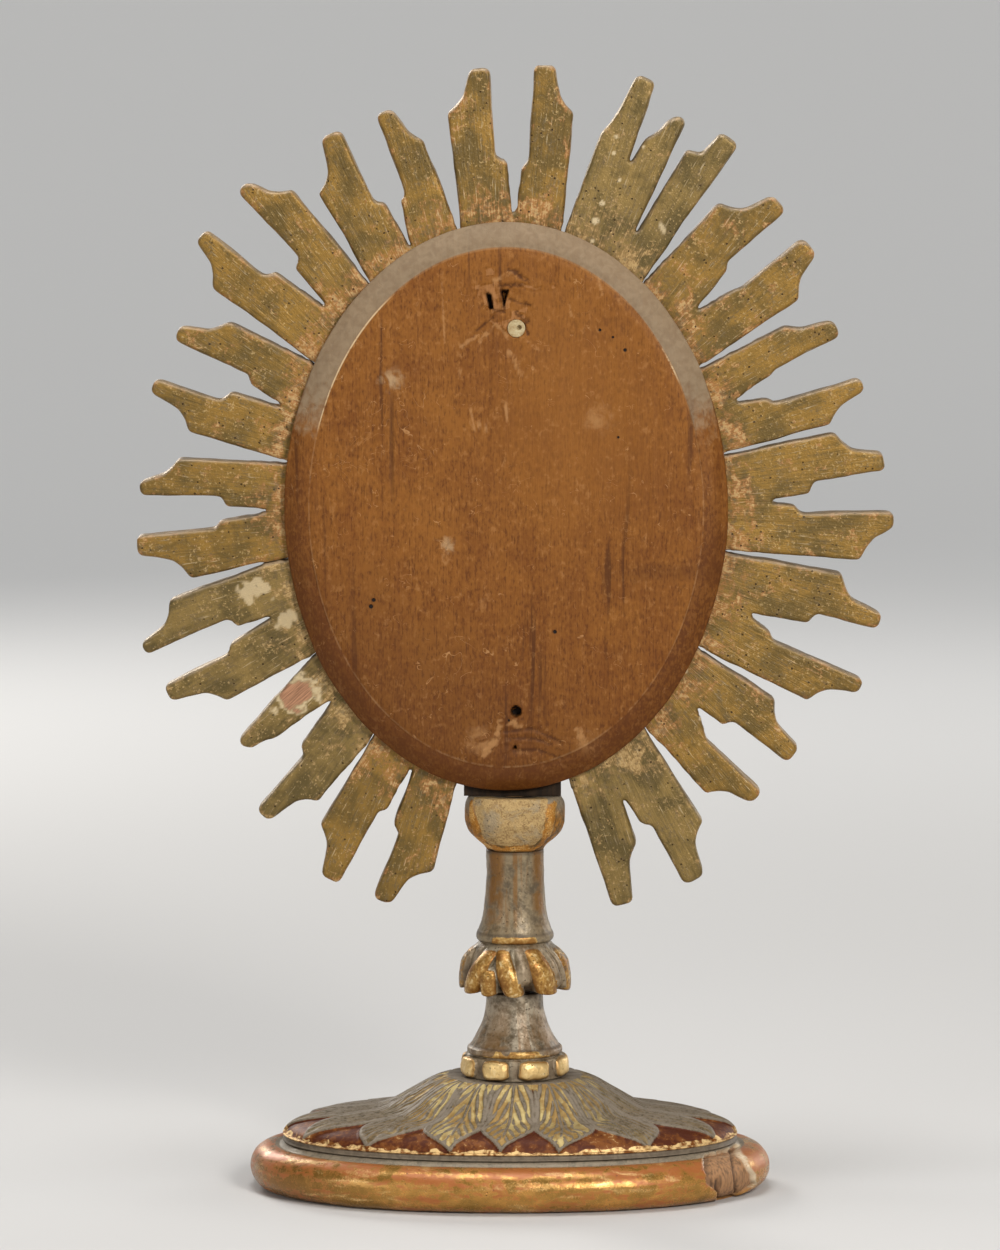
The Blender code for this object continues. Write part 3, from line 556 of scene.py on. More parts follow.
@dataclass(frozen=True)
class RayGilding:
    """Dull gilding on the rays, rubbed to copper at edges and roots and specked with dirt, with a painted
    highlight along their upper edges.
    """

    leaf: Colour
    shade: Colour
    copper: Colour = (0.40, 0.172, 0.058)
    speck: Colour = (0.040, 0.020, 0.008)
    fleck: Colour = (0.50, 0.345, 0.150)
    dust_and_lit_edge: Colour = (0.40, 0.315, 0.225)
    gesso: Colour = (0.56, 0.44, 0.26)
    wood: Colour = (0.44, 0.225, 0.125)
    grime: Colour = (0.125, 0.090, 0.045)
    metal: float = 0.38

    def dress(self, obj: bpy.types.Object, seed: float) -> None:
        """Dress one group of rays. It reads "worn", "upward", "bare", "broken".

        Args:
            obj: The piece to dress.
            seed: Number that moves the pattern from piece to piece.
        """
        g = Graph(f"{obj.name}_finish")
        shifted = g.node("ShaderNodeVectorMath", {"operation": "ADD"},
                         {0: g.place(), 1: (seed * 37.0, seed * 11.0, 0.0)})
        x, _, z = g.split(g.place())
        across, up = x - HEAD_X, z - HEAD_Z
        radius = (across * across + up * up) ** 0.5
        spread = ((across / BOARD_A) ** 2 + (up / BOARD_B) ** 2) ** 0.5
        bearing = across.bearing(up)
        along = g.join(bearing * 95.0, radius * 0.045, seed * 3.0)
        fine = g.join(bearing * 260.0, radius * 0.10, seed * 5.0)
        streak, hair = g.noise(along, 1.0, 3.0, 0.6), g.noise(fine, 1.0, 2.0)
        blotch = g.noise(shifted, 19.0, 3.0, 0.6)
        patchy, tone = g.noise(shifted, 5.0, 5.0, 0.4), g.noise(shifted, 9.0, 4.0, 0.8)
        dust_and_lit_edge, grit = g.noise(shifted, 0.9, 3.0), g.noise(shifted, 1.7, 4.0)
        g.colour = g.mix((blotch * 0.8 + patchy * 0.35 + streak * 0.3).band(0.58, 0.86), self.shade,
                         self.leaf)
        g.lay(self.grime, (patchy * 0.5 + hair * 0.45 + grit * 0.5).band(0.72, 0.88) * 0.70)
        sparkle = (grit * 0.6 + dust_and_lit_edge * 0.7 + tone * 0.3).band(0.86, 1.00)
        g.lay(self.fleck, sparkle * 0.65)
        speckle = (grit * 0.7 + dust_and_lit_edge * 0.5).band(0.52, 0.42)
        g.lay(self.grime, speckle * 0.55)
        worn = g.stored("worn")
        root = spread.band(1.20, 1.02)
        rubbed = worn * 0.62 + root * 0.46 + (tone - 0.5) * 2.2 + (hair - 0.5) * 0.9
        rubbed = (rubbed + (grit - 0.5) * 1.1).band(0.22, 0.75)
        g.lay(self.copper, rubbed * 0.85)
        flecks = (rubbed * 0.45 + dust_and_lit_edge * 0.55 + grit * 0.35).band(0.78, 0.98)
        g.lay(self.fleck, flecks * 0.8)
        pitted = g.cells(shifted, 3.0).band(0.19, 0.10) * patchy.band(0.46, 0.58)
        g.lay(self.speck, pitted * 0.9)
        edge_dirt = (worn * 0.8).larger(root * 0.7) * g.noise(shifted, 2.6, 4.0).band(0.52, 0.66)
        g.lay(self.grime, edge_dirt * 0.8)
        scrape = hair.band(0.60, 0.68) * streak.band(0.50, 0.60)
        g.lay(self.gesso, scrape * 0.5)
        # Painted highlight: upward-facing convex edges are laid in a pale dusty grey, standing in for
        # light from above.
        lit_upper_edge = g.stored("upward") * (0.55 + (patchy - 0.5) * 1.2)
        g.lay(self.dust_and_lit_edge, lit_upper_edge)
        bare, broken = g.stored("bare"), g.stored("broken")
        fibre = g.tint(hair, ((0.38, darker(self.wood, 0.55)), (0.62, self.wood)))
        g.lay(fibre, bare)
        g.lay(self.gesso, broken)
        dull = bare.larger(broken)
        roughness = 0.40 + 0.22 * rubbed + 0.30 * (dust_and_lit_edge - 0.35) + 0.4 * dull
        height = 0.22 * streak + 0.12 * hair + 0.14 * dust_and_lit_edge + 0.18 * grit - 0.35 * pitted
        g.finish(obj, roughness, height, self.metal * (1 - dull) * (1 - 0.5 * rubbed),
                 {"Specular IOR Level": 0.22})


@dataclass(frozen=True)
class BoardWood:
    """Warm waxed board with upright grain, and a bevel with old grey paint at the top and painted shade
    at the bottom.
    """

    pale: Colour = (0.240, 0.089, 0.013)
    brown: Colour = (0.150, 0.047, 0.006)
    dark: Colour = (0.062, 0.018, 0.003)
    umber: Colour = (0.095, 0.028, 0.004)
    scratch: Colour = (0.42, 0.215, 0.080)
    splinter: Colour = (0.36, 0.165, 0.060)
    paint: Colour = (0.250, 0.185, 0.115)
    cream: Colour = (0.54, 0.39, 0.22)
    hole: Colour = (0.010, 0.005, 0.003)
    holes: tuple[tuple[float, float, float], ...] = (
        (-64.4, 265.3, 0.9), (-63.2, 268.2, 0.8), (37.7, 388.8, 0.6), (48.9, 379.9, 0.7),
        (43.5, 385.6, 0.5), (17.8, 253.9, 0.8), (-2.8, 214.0, 0.5), (46.0, 341.0, 0.5))

    stains: tuple[tuple[float, float, float, str, float], ...] = (
        (-54.6, 367.0, 7.0, "cream", 0.50), (37.8, 348.7, 9.0, "scratch", 0.55),
        (-30.4, 292.9, 4.5, "cream", 0.45), (-16.0, 205.5, 8.0, "scratch", 0.50),
        (33.6, 203.0, 8.5, "scratch", 0.55), (7.0, 400.0, 24.0, "pale", 0.55))

    def dress(self, obj: bpy.types.Object) -> None:
        """Dress the board. It reads "torn", "light", "score", "bevel", "line" and "pit".

        Args:
            obj: The piece to dress.
        """
        g = Graph("board_wood")
        place = g.place()
        x, _, z = g.split(place)
        drift = g.noise(g.stretch(place, (1, 1, 0.12)), 34.0, 2.0) * 9.0
        upright = g.join(x + drift, 0.0, z)
        fibre = g.noise(g.stretch(upright, (1, 1, 0.05)), 0.6, 4.0)
        pores = g.noise(g.stretch(place, (1, 1, 0.45)), 1.0, 4.0)
        ring = g.noise(g.stretch(upright, (1, 1, 0.05)), 7.0, 3.0, 0.4)
        broad = g.noise(g.stretch(upright, (1, 1, 0.28)), 42.0, 3.0, 0.3)
        wear = g.noise(place, 26.0, 5.0, 0.6)
        mottle = g.noise(place, 3.2, 4.0, 0.5)
        tone = fibre * 0.26 + pores * 0.32 + ring * 0.16 + broad * 0.25 + wear * 0.42 + mottle * 0.27
        g.colour = g.mix(tone.band(0.68, 0.98), self.brown, self.pale)
        g.lay(self.dark, (fibre * 0.4 + pores * 0.6).band(0.50, 0.36) * 0.42)
        dark_line = ring.band(0.40, 0.33) * broad.band(0.60, 0.44)
        g.lay(self.dark, dark_line * 0.70)
        shadow = (z * -1.0 + x * -0.55 + (wear - 0.5) * 60.0).band(-275.0, -185.0)
        g.lay(self.dark, shadow * 0.42)
        glow = ((x - 30.0) ** 2 * 1.4 + (z - 348.0) ** 2) ** 0.5 + (wear - 0.5) * 50.0
        g.lay(self.pale, glow.band(70.0, 10.0) * 0.5)
        scuff = g.noise(place, 9.0, 5.0, 1.2)
        worn = (mottle * 0.55 + pores * 0.35 + scuff * 0.35).band(0.66, 0.80)
        g.lay(self.scratch, worn * 0.20)
        thin = abs(g.noise(g.stretch(place, (1, 1, 0.8)), 15.0, 2.0, 1.4) - 0.5).band(0.0055, 0.0015)
        thin = thin * g.noise(place, 30.0, 2.0).band(0.56, 0.64)
        tick = abs(g.noise(g.join(x + z * 0.6, 0.0, z - x * 0.2), 5.0, 1.0, 0.8) - 0.5)
        tick = tick.band(0.012, 0.004) * g.noise(place, 7.0, 2.0).band(0.60, 0.66)
        marks = (thin * 0.8).larger(tick * 0.7).larger(scuff.band(0.66, 0.78) * 0.35)
        g.lay(self.scratch, marks)
        for px, pz, size, name, depth in self.stains:
            away = ((x - px) ** 2 + (z - pz) ** 2) ** 0.5 + (mottle - 0.5) * 2.4 * size ** 0.8
            g.lay(getattr(self, name), away.band(size, size * 0.2) * scuff.band(0.30, 0.60) * depth)
        crack = abs(x + 54.6 + (ring - 0.5) * 3.0).band(1.3, 0.3)
        crack = crack * z.band(300.0, 330.0) * z.band(368.0, 350.0)
        stain = abs(z - 281.0 + (mottle - 0.5) * 9.0).band(6.0, 1.0) * x.band(34.0, 58.0)
        g.lay(self.dark, (crack * 0.55).larger(stain * 0.30))
        torn, bevel, line = g.stored("torn"), g.stored("bevel"), g.stored("line")
        splintered = torn * (fibre * 0.4 + mottle * 0.7)
        g.lay(self.splinter, splintered.band(0.36, 0.62) * 0.75)
        rubbed = g.stored("light") * (mottle * 0.6 + scuff * 0.5).band(0.42, 0.62)
        g.lay(self.scratch, rubbed * 0.60)
        g.lay(self.dark, g.stored("score") * mottle.band(0.70, 0.46) * 0.8)
        top = (z - 358.0) / 34.0 + (wear - 0.5) * 1.4 + (mottle - 0.5) * 0.9
        grey = bevel * top.band(-0.60, 0.25)
        # Painted shade: the lower bevel, which faces downwards, is darkened towards umber.
        low = bevel * (z + (wear - 0.5) * 60.0).band(372.0, 262.0)
        g.lay(self.umber, low * (0.50 + (mottle + pores).band(1.10, 0.86) * 0.38))
        shade = g.mix(mottle.band(0.30, 0.70), darker(self.paint, 0.84), self.paint)
        g.lay(shade, grey * (0.72 + 0.3 * mottle))
        sides = (x * -1.0).band(46.0, 58.0) * z.band(340.0, 352.0) * z.band(408.0, 396.0)
        sides = sides.larger(x.band(60.0, 72.0) * z.band(362.0, 372.0) * z.band(412.0, 400.0))
        line = line.band(0.35, 0.75) * sides.larger(0.10) * (mottle * 0.7 + wear * 0.6).band(0.52, 0.66)
        g.lay(self.cream, line)
        # Painted shade: the bored holes and the listed small holes are laid near black, for the shade
        # inside them.
        hole_shade = g.stored("pit")
        for px, pz, size in self.holes:
            away = ((x - px) ** 2 + (z - pz) ** 2) ** 0.5 + (dark_line - 0.5) * 0.1
            hole_shade = hole_shade.larger(away.band(size * 1.15, size * 0.75))
        g.lay(self.hole, hole_shade)
        roughness = 0.46 + 0.22 * wear + 0.25 * marks + 0.2 * torn + 0.1 * grey
        height = 0.10 * fibre + 0.10 * pores + 0.10 * ring - 0.10 * marks - 0.25 * crack
        height = height - 1.2 * hole_shade + 0.05 * mottle + torn * fibre * 0.5
        g.finish(obj, roughness, height, fixed={"Specular IOR Level": 0.18})


@dataclass(frozen=True)
class StemPaint:
    """Grey-silver paint with ochre streaks, and burnished gold on the raised carving."""

    grey: Colour = (0.330, 0.272, 0.185)
    deep: Colour = (0.110, 0.080, 0.044)
    ochre: Colour = (0.190, 0.085, 0.012)
    gold: Colour = (0.66, 0.42, 0.135)
    amber: Colour = (0.285, 0.125, 0.022)
    pale: Colour = (0.82, 0.64, 0.34)
    pit: Colour = (0.036, 0.018, 0.008)
    streaks: float = 1.0
    slope: float = 0.0
    fade: tuple[float, float] = (0.0, 1.0)
    soil: float = 1.0

    def dress(self, obj: bpy.types.Object) -> None:
        """Dress one stem piece. It reads "gold", "hollow" and "amber".

        Args:
            obj: The piece to dress.
        """
        g = Graph(f"{obj.name}_finish")
        place = g.place()
        x, y, z = g.split(place)
        around = x.bearing(y * -1.0)
        drawn = g.join(around * 15.0, 0.0, z * 0.085)
        streak = g.noise(drawn, 2.3, 4.0, 0.7)
        broad = g.noise(g.join(around * 15.0, 0.0, z * 0.05), 8.0, 2.0, 0.4)
        cloud, grain = g.noise(place, 7.0, 4.0, 0.5), g.noise(place, 1.0, 3.0)
        mottle = g.noise(place, 2.4, 4.0, 0.4)
        g.colour = g.mix((cloud * 0.55 + mottle * 0.45 + grain * 0.22).band(0.46, 0.74), self.deep,
                         self.grey)
        hue = (broad * 0.8 + streak * 0.5).band(0.62, 0.80) * self.streaks
        side = around + self.slope
        for centre, width, share in ((-0.78, 0.52, 1.0), (0.92, 0.42, 0.9), (0.02, 0.13, 0.8),
                                     (2.3, 0.5, 1.0), (-2.4, 0.4, 0.9)):
            strip = abs(side - centre + (broad - 0.5) * 0.5).band(width, width * 0.35)
            hue = hue.larger(strip * share * self.streaks)
        fade = (z + (cloud - 0.5) * 24.0).band(self.fade[0], self.fade[1])
        hue = hue * cloud.band(0.30, 0.52) * fade
        g.lay(self.ochre, hue * 0.9)
        raised, hollow, amber = g.stored("gold"), g.stored("hollow"), g.stored("amber")
        lift = (raised + (mottle - 0.5) * 0.9 + (grain - 0.5) * 0.5).band(0.34, 0.58)
        smear = g.noise(place, 2.0, 1.5, 0.5)
        dirt = (cloud * 0.6 + smear * 0.3 + grain * 0.25).band(0.70, 0.44) * self.soil
        leaf = g.mix(dirt, self.gold, self.amber)
        leaf = g.mix((smear * 0.6 + cloud * 0.4 + grain * 0.25).band(0.66, 0.84) * 0.7, leaf,
                     self.pale)
        leaf = g.mix(amber * (0.4 + 0.8 * smear), leaf, self.amber)
        g.lay(leaf, lift)
        spots = g.cells(place, 1.9).band(0.20, 0.10) * cloud.band(0.46, 0.60)
        g.lay(self.pit, spots * 0.75)
        # Painted shade: the "hollow" share, in grooves, between beads and lobes and where pieces meet, is
        # laid in the near-black pit colour.
        g.lay(self.pit, hollow * (0.70 + 0.4 * mottle))
        roughness = 0.20 + 0.20 * grain + 0.18 * mottle + 0.25 * hollow
        height = 0.10 * grain + 0.22 * mottle - 0.3 * spots + 0.10 * lift + 0.08 * streak
        g.finish(obj, roughness, height, 0.28 + 0.28 * lift)


@dataclass(frozen=True)
class CushionFace:
    """Capital: a grainy cream face inside an orange-gold rim, dull grey-brown elsewhere."""

    cream: Colour = (0.46, 0.310, 0.130)
    fleck: Colour = (0.25, 0.150, 0.058)
    orange: Colour = (0.42, 0.180, 0.028)
    gold: Colour = (0.68, 0.42, 0.14)
    umber: Colour = (0.125, 0.072, 0.022)
    grey: Colour = (0.265, 0.225, 0.160)
    pit: Colour = (0.035, 0.018, 0.008)

    def dress(self, obj: bpy.types.Object) -> None:
        """Dress the capital. It reads "face", "rim" and "hollow".

        Args:
            obj: The piece to dress.
        """
        g = Graph("capital_finish")
        place = g.place()
        _, _, z = g.split(place)
        grain, mottle = g.noise(place, 0.7, 4.0), g.noise(place, 2.6, 4.0, 0.5)
        cloud = g.noise(place, 8.0, 4.0, 0.6)
        g.colour = g.mix((cloud * 0.6 + mottle * 0.6).band(0.48, 0.72), self.umber, self.orange)
        # Grey at the top: grey paint, and a painted highlight from the light above.
        grey_and_lit_top = (z + (mottle - 0.5) * 10.0).band(168.0, 176.0)
        g.lay(self.grey, grey_and_lit_top * 0.9)
        face, rim, hollow = g.stored("face"), g.stored("rim"), g.stored("hollow")
        flecked = (grain * 0.65 + mottle * 0.5).band(0.42, 0.66)
        inner = g.mix(flecked, self.fleck, self.cream)
        inner = g.mix((cloud * 0.8 + mottle * 0.3).band(0.52, 0.72) * 0.6, inner, self.grey)
        g.lay(inner, (face + (mottle - 0.5) * 0.5).band(0.35, 0.60))
        edge = (rim + (mottle - 0.5) * 1.5 + (cloud - 0.5) * 1.0).band(0.36, 0.85)
        bright = g.mix((grain * 0.5 + cloud * 0.6).band(0.52, 0.68), self.orange, self.gold)
        g.lay(bright, edge)
        spots = g.cells(place, 2.2).band(0.20, 0.08) * cloud.band(0.42, 0.56)
        # Painted shade: the "hollow" share, at the capital's foot and in the groove round its face, is
        # laid near black with the pits.
        g.lay(self.pit, (spots * 0.7).larger(hollow * 0.85))
        roughness = 0.40 + 0.35 * grain + 0.1 * face
        height = 0.45 * grain + 0.5 * mottle - 0.3 * spots
        g.finish(obj, roughness, height, 0.10 + 0.35 * edge, {"Specular IOR Level": 0.3})


@dataclass(frozen=True)
class LeafPaint:
    """Foot dome: grey veins and outlines over pale gold leaves, on a red ground with a gold lip."""

    grey: Colour = (0.195, 0.155, 0.109)
    outline: Colour = (0.245, 0.200, 0.150)
    olive: Colour = (0.078, 0.058, 0.031)
    gold: Colour = (0.50, 0.39, 0.17)
    ochre: Colour = (0.30, 0.185, 0.060)
    tan: Colour = (0.185, 0.126, 0.068)
    bole: Colour = (0.075, 0.016, 0.004)
    orange: Colour = (0.195, 0.062, 0.010)
    lip: Colour = (0.76, 0.53, 0.24)

    def dress(self, obj: bpy.types.Object) -> None:
        """Dress the dome. It reads "leaf", "vein", "far" and "lip".

        Args:
            obj: The piece to dress.
        """
        g = Graph("leaf_paint")
        place = g.place()
        grain, mottle = g.noise(place, 1.0, 4.0), g.noise(place, 2.8, 4.0, 0.5)
        cloud = g.noise(place, 13.0, 4.0, 0.6)
        leaf, vein, far, lip = (g.stored(n) for n in ("leaf", "vein", "far", "lip"))
        ground = g.mix((mottle * 0.5 + cloud * 0.7).band(0.52, 0.72), self.bole, self.orange)
        ground = g.mix((grain * 0.4 + mottle * 0.5 + cloud * 0.3).band(0.68, 0.80) * 0.7, ground,
                       self.lip)
        under = g.mix((cloud * 0.7 + mottle * 0.4).band(0.48, 0.68), self.ochre, self.gold)
        under = g.mix(far * 0.85, under, g.mix(mottle.band(0.36, 0.60), self.olive, self.tan))
        paint = g.mix((grain * 0.4 + mottle * 0.7).band(0.34, 0.62), self.olive, self.grey)
        paint = g.mix((vein * 1.0).band(1.0, 1.2) * 0.5, paint, self.outline)
        drawn = (vein + (mottle - 0.5) * 0.5 + (grain - 0.5) * 0.35).band(0.38, 0.58)
        inside = g.mix(drawn, under, paint)
        g.colour = g.mix((leaf + (grain - 0.5) * 0.2).band(0.35, 0.60), ground, inside)
        side = g.mix(mottle.band(0.35, 0.65), darker(self.grey, 0.7), self.grey)
        g.lay(side, (lip * -1.0).band(0.3, 0.6))
        edge = (lip + (mottle - 0.5) * 0.5 + (cloud - 0.5) * 0.7).band(0.36, 0.60)
        bright = g.mix((mottle * 0.7 + cloud * 0.4).band(0.46, 0.62), self.orange, self.lip)
        g.lay(bright, edge)
        roughness = 0.40 + 0.24 * grain
        height = 0.12 * grain + 0.14 * mottle + 0.12 * drawn
        g.finish(obj, roughness, height, 0.12 + 0.25 * (1 - drawn) * leaf + 0.30 * edge,
                 {"Specular IOR Level": 0.2})


@dataclass(frozen=True)
class RimGilding:
    """Foot's rim and the front mouldings: worn water gilding over red bole on gesso."""

    gold: Colour = (0.56, 0.275, 0.062)
    pale: Colour = (0.74, 0.48, 0.19)
    bole: Colour = (0.36, 0.105, 0.022)
    olive: Colour = (0.285, 0.150, 0.026)
    grey: Colour = (0.270, 0.215, 0.145)
    gesso: Colour = (0.62, 0.50, 0.34)
    wood: Colour = (0.36, 0.185, 0.080)
    dark: Colour = (0.045, 0.022, 0.012)
    painted_end_shade: Colour = (0.170, 0.070, 0.012)
    painted_end_shade_share: float = 0.0
    wear: float = 1.0
    rubbed: tuple[float, float] = (9.0, 17.0)
    flow: tuple[float, float, float] = (0.22, 0.22, 1.0)

    def dress(self, obj: bpy.types.Object) -> None:
        """Dress a piece. It reads "hollow", "bare", "broken" and "split".

        Args:
            obj: The piece to dress.
        """
        g = Graph(f"{obj.name}_finish")
        place = g.place()
        drawn = g.stretch(place, self.flow)
        run, grain = g.noise(drawn, 2.8, 4.0, 0.6), g.noise(place, 0.8, 4.0)
        cloud, mottle = g.noise(place, 17.0, 4.0, 0.7), g.noise(place, 3.0, 4.0, 0.5)
        g.colour = g.mix((cloud * 0.8 + mottle * 0.3).band(0.38, 0.72), self.olive, self.gold)
        x, _, z = g.split(place)
        # Painted shade: the left end, away from the key light, is darkened.
        g.lay(self.painted_end_shade, x.band(-50.0, -108.0) * self.painted_end_shade_share)
        rubbed = run * 0.75 + cloud * 0.45 + (mottle - 0.5) * 0.5
        rubbed = (rubbed + z.band(*self.rubbed) * 0.10 - 0.05).band(0.52, 0.72)
        g.lay(self.bole, rubbed * 0.9 * self.wear)
        lit = (g.noise(drawn, 4.0, 4.0, 0.8) * 0.8 + grain * 0.3).band(0.60, 0.76)
        g.lay(self.pale, lit * 0.7)
        specks = g.cells(place, 2.4).band(0.18, 0.08) * cloud.band(0.50, 0.60)
        g.lay(self.dark, specks * 0.6)
        hollow, bare, broken = g.stored("hollow"), g.stored("bare"), g.stored("broken")
        paint = g.mix((mottle * 0.6 + grain * 0.5).band(0.42, 0.66), darker(self.grey, 0.6),
                      self.grey)
        # Grey paint in the hollows; on the window frame it also stands as painted shade between beads and
        # gadroons.
        g.lay(paint, (hollow + (mottle - 0.5) * 0.3).band(0.35, 0.60))
        upright = g.noise(g.stretch(place, (1.0, 1.0, 0.1)), 1.1, 3.0)
        fibre = g.mix(upright.band(0.30, 0.60), darker(self.wood, 0.45), self.wood)
        g.lay(fibre, bare)
        g.lay(self.dark, g.stored("split"))
        g.lay(self.gesso, broken * (grain * 0.7 + mottle * 0.5).band(0.35, 0.55))
        roughness = 0.14 + 0.16 * rubbed + 0.22 * grain + 0.2 * hollow + 0.40 * bare
        height = 0.10 * grain + 0.12 * mottle - 0.25 * specks + 0.4 * bare * upright
        metal = (0.50 - 0.30 * rubbed) * (1 - bare.larger(broken)) * (1 - 0.6 * hollow)
        g.finish(obj, roughness, height, metal)


@dataclass(frozen=True)
class PlainWood:
    """Bare softwood with its grain along one axis."""

    name: str = "raw_wood"
    pale: Colour = (0.50, 0.31, 0.15)
    dark: Colour = (0.26, 0.13, 0.055)
    grain: tuple[float, float, float] = (1.0, 1.0, 0.06)
    size: float = 1.2

    def dress(self, obj: bpy.types.Object) -> None:
        """Dress a piece.

        Args:
            obj: The piece to dress.
        """
        g = Graph(self.name)
        place = g.place()
        fibre = g.noise(g.stretch(place, self.grain), self.size, 4.0)
        ring = g.noise(g.stretch(place, self.grain), self.size * 4, 2.0, 0.4)
        cloud = g.noise(place, 9.0, 3.0)
        g.colour = g.mix((fibre * 0.5 + ring * 0.5 + cloud * 0.3).band(0.50, 0.82), self.dark,
                         self.pale)
        g.finish(obj, 0.62 + 0.2 * fibre, 0.15 * fibre + 0.06 * cloud,
                 fixed={"Specular IOR Level": 0.2})


@dataclass(frozen=True)
class OldGlass:
    """Clear old window glass, a little wavy."""

    name: str = "window_glass"

    def dress(self, obj: bpy.types.Object) -> None:
        """Dress a pane.

        Args:
            obj: The piece to dress.
        """
        g = Graph(self.name)
        place = g.place()
        smear = g.noise(place, 22.0, 3.0, 0.8)
        g.colour = (0.93, 0.97, 0.95)
        g.finish(obj, 0.02 + 0.06 * smear.band(0.5, 0.8), 0.05 * smear,
                 fixed={"Transmission Weight": 1.0, "IOR": 1.5})


@dataclass(frozen=True)
class Cloth:
    """Woven cloth: silk on the relic panel, linen round the packet."""

    name: str
    thread: Colour
    shade: Colour
    pitch: float
    sheen: float
    second: Colour | None = None

    def dress(self, obj: bpy.types.Object) -> None:
        """Dress a cloth piece. It reads "band" where there is a second colour.

        Args:
            obj: The piece to dress.
        """
        g = Graph(self.name)
        place = g.place()
        x, _, z = g.split(place)
        step = 2 * math.pi / self.pitch
        warp, weft = (x * step).sine(), (z * step * 1.15).sine()
        weave = warp * weft * 0.5 + 0.5
        slub = g.noise(g.stretch(place, (0.15, 1.0, 1.0)), 0.6, 3.0)
        cloud = g.noise(place, 18.0, 4.0, 0.5)
        g.colour = g.mix((weave * 0.5 + slub * 0.4 + cloud * 0.4).band(0.40, 0.95), self.shade,
                         self.thread)
        if self.second is not None:
            g.lay(self.second, g.stored("band"))
        g.finish(obj, 0.50 + 0.25 * weave, 0.05 * weave + 0.05 * slub,
                 fixed={"Sheen Weight": self.sheen})


@dataclass(frozen=True)
class Brass:
    """Satin brass, tarnished in the hollows."""

    bright: Colour = (0.80, 0.56, 0.22)
    tarnish: Colour = (0.26, 0.15, 0.05)

    def dress(self, obj: bpy.types.Object) -> None:
        """Dress the relic case. It reads "hollow".

        Args:
            obj: The piece to dress.
        """
        g = Graph("case_brass")
        place = g.place()
        cloud, grain = g.noise(place, 6.0, 4.0, 0.5), g.noise(place, 0.5, 3.0)
        dull = (cloud * 0.7 + g.stored("hollow") * 0.5 + grain * 0.2).band(0.45, 0.85)
        g.colour = g.mix(dull, self.bright, self.tarnish)
        g.finish(obj, 0.22 + 0.3 * dull + 0.1 * grain, 0.04 * grain, 1.0)


# ------------------------------------------------------------------ foot

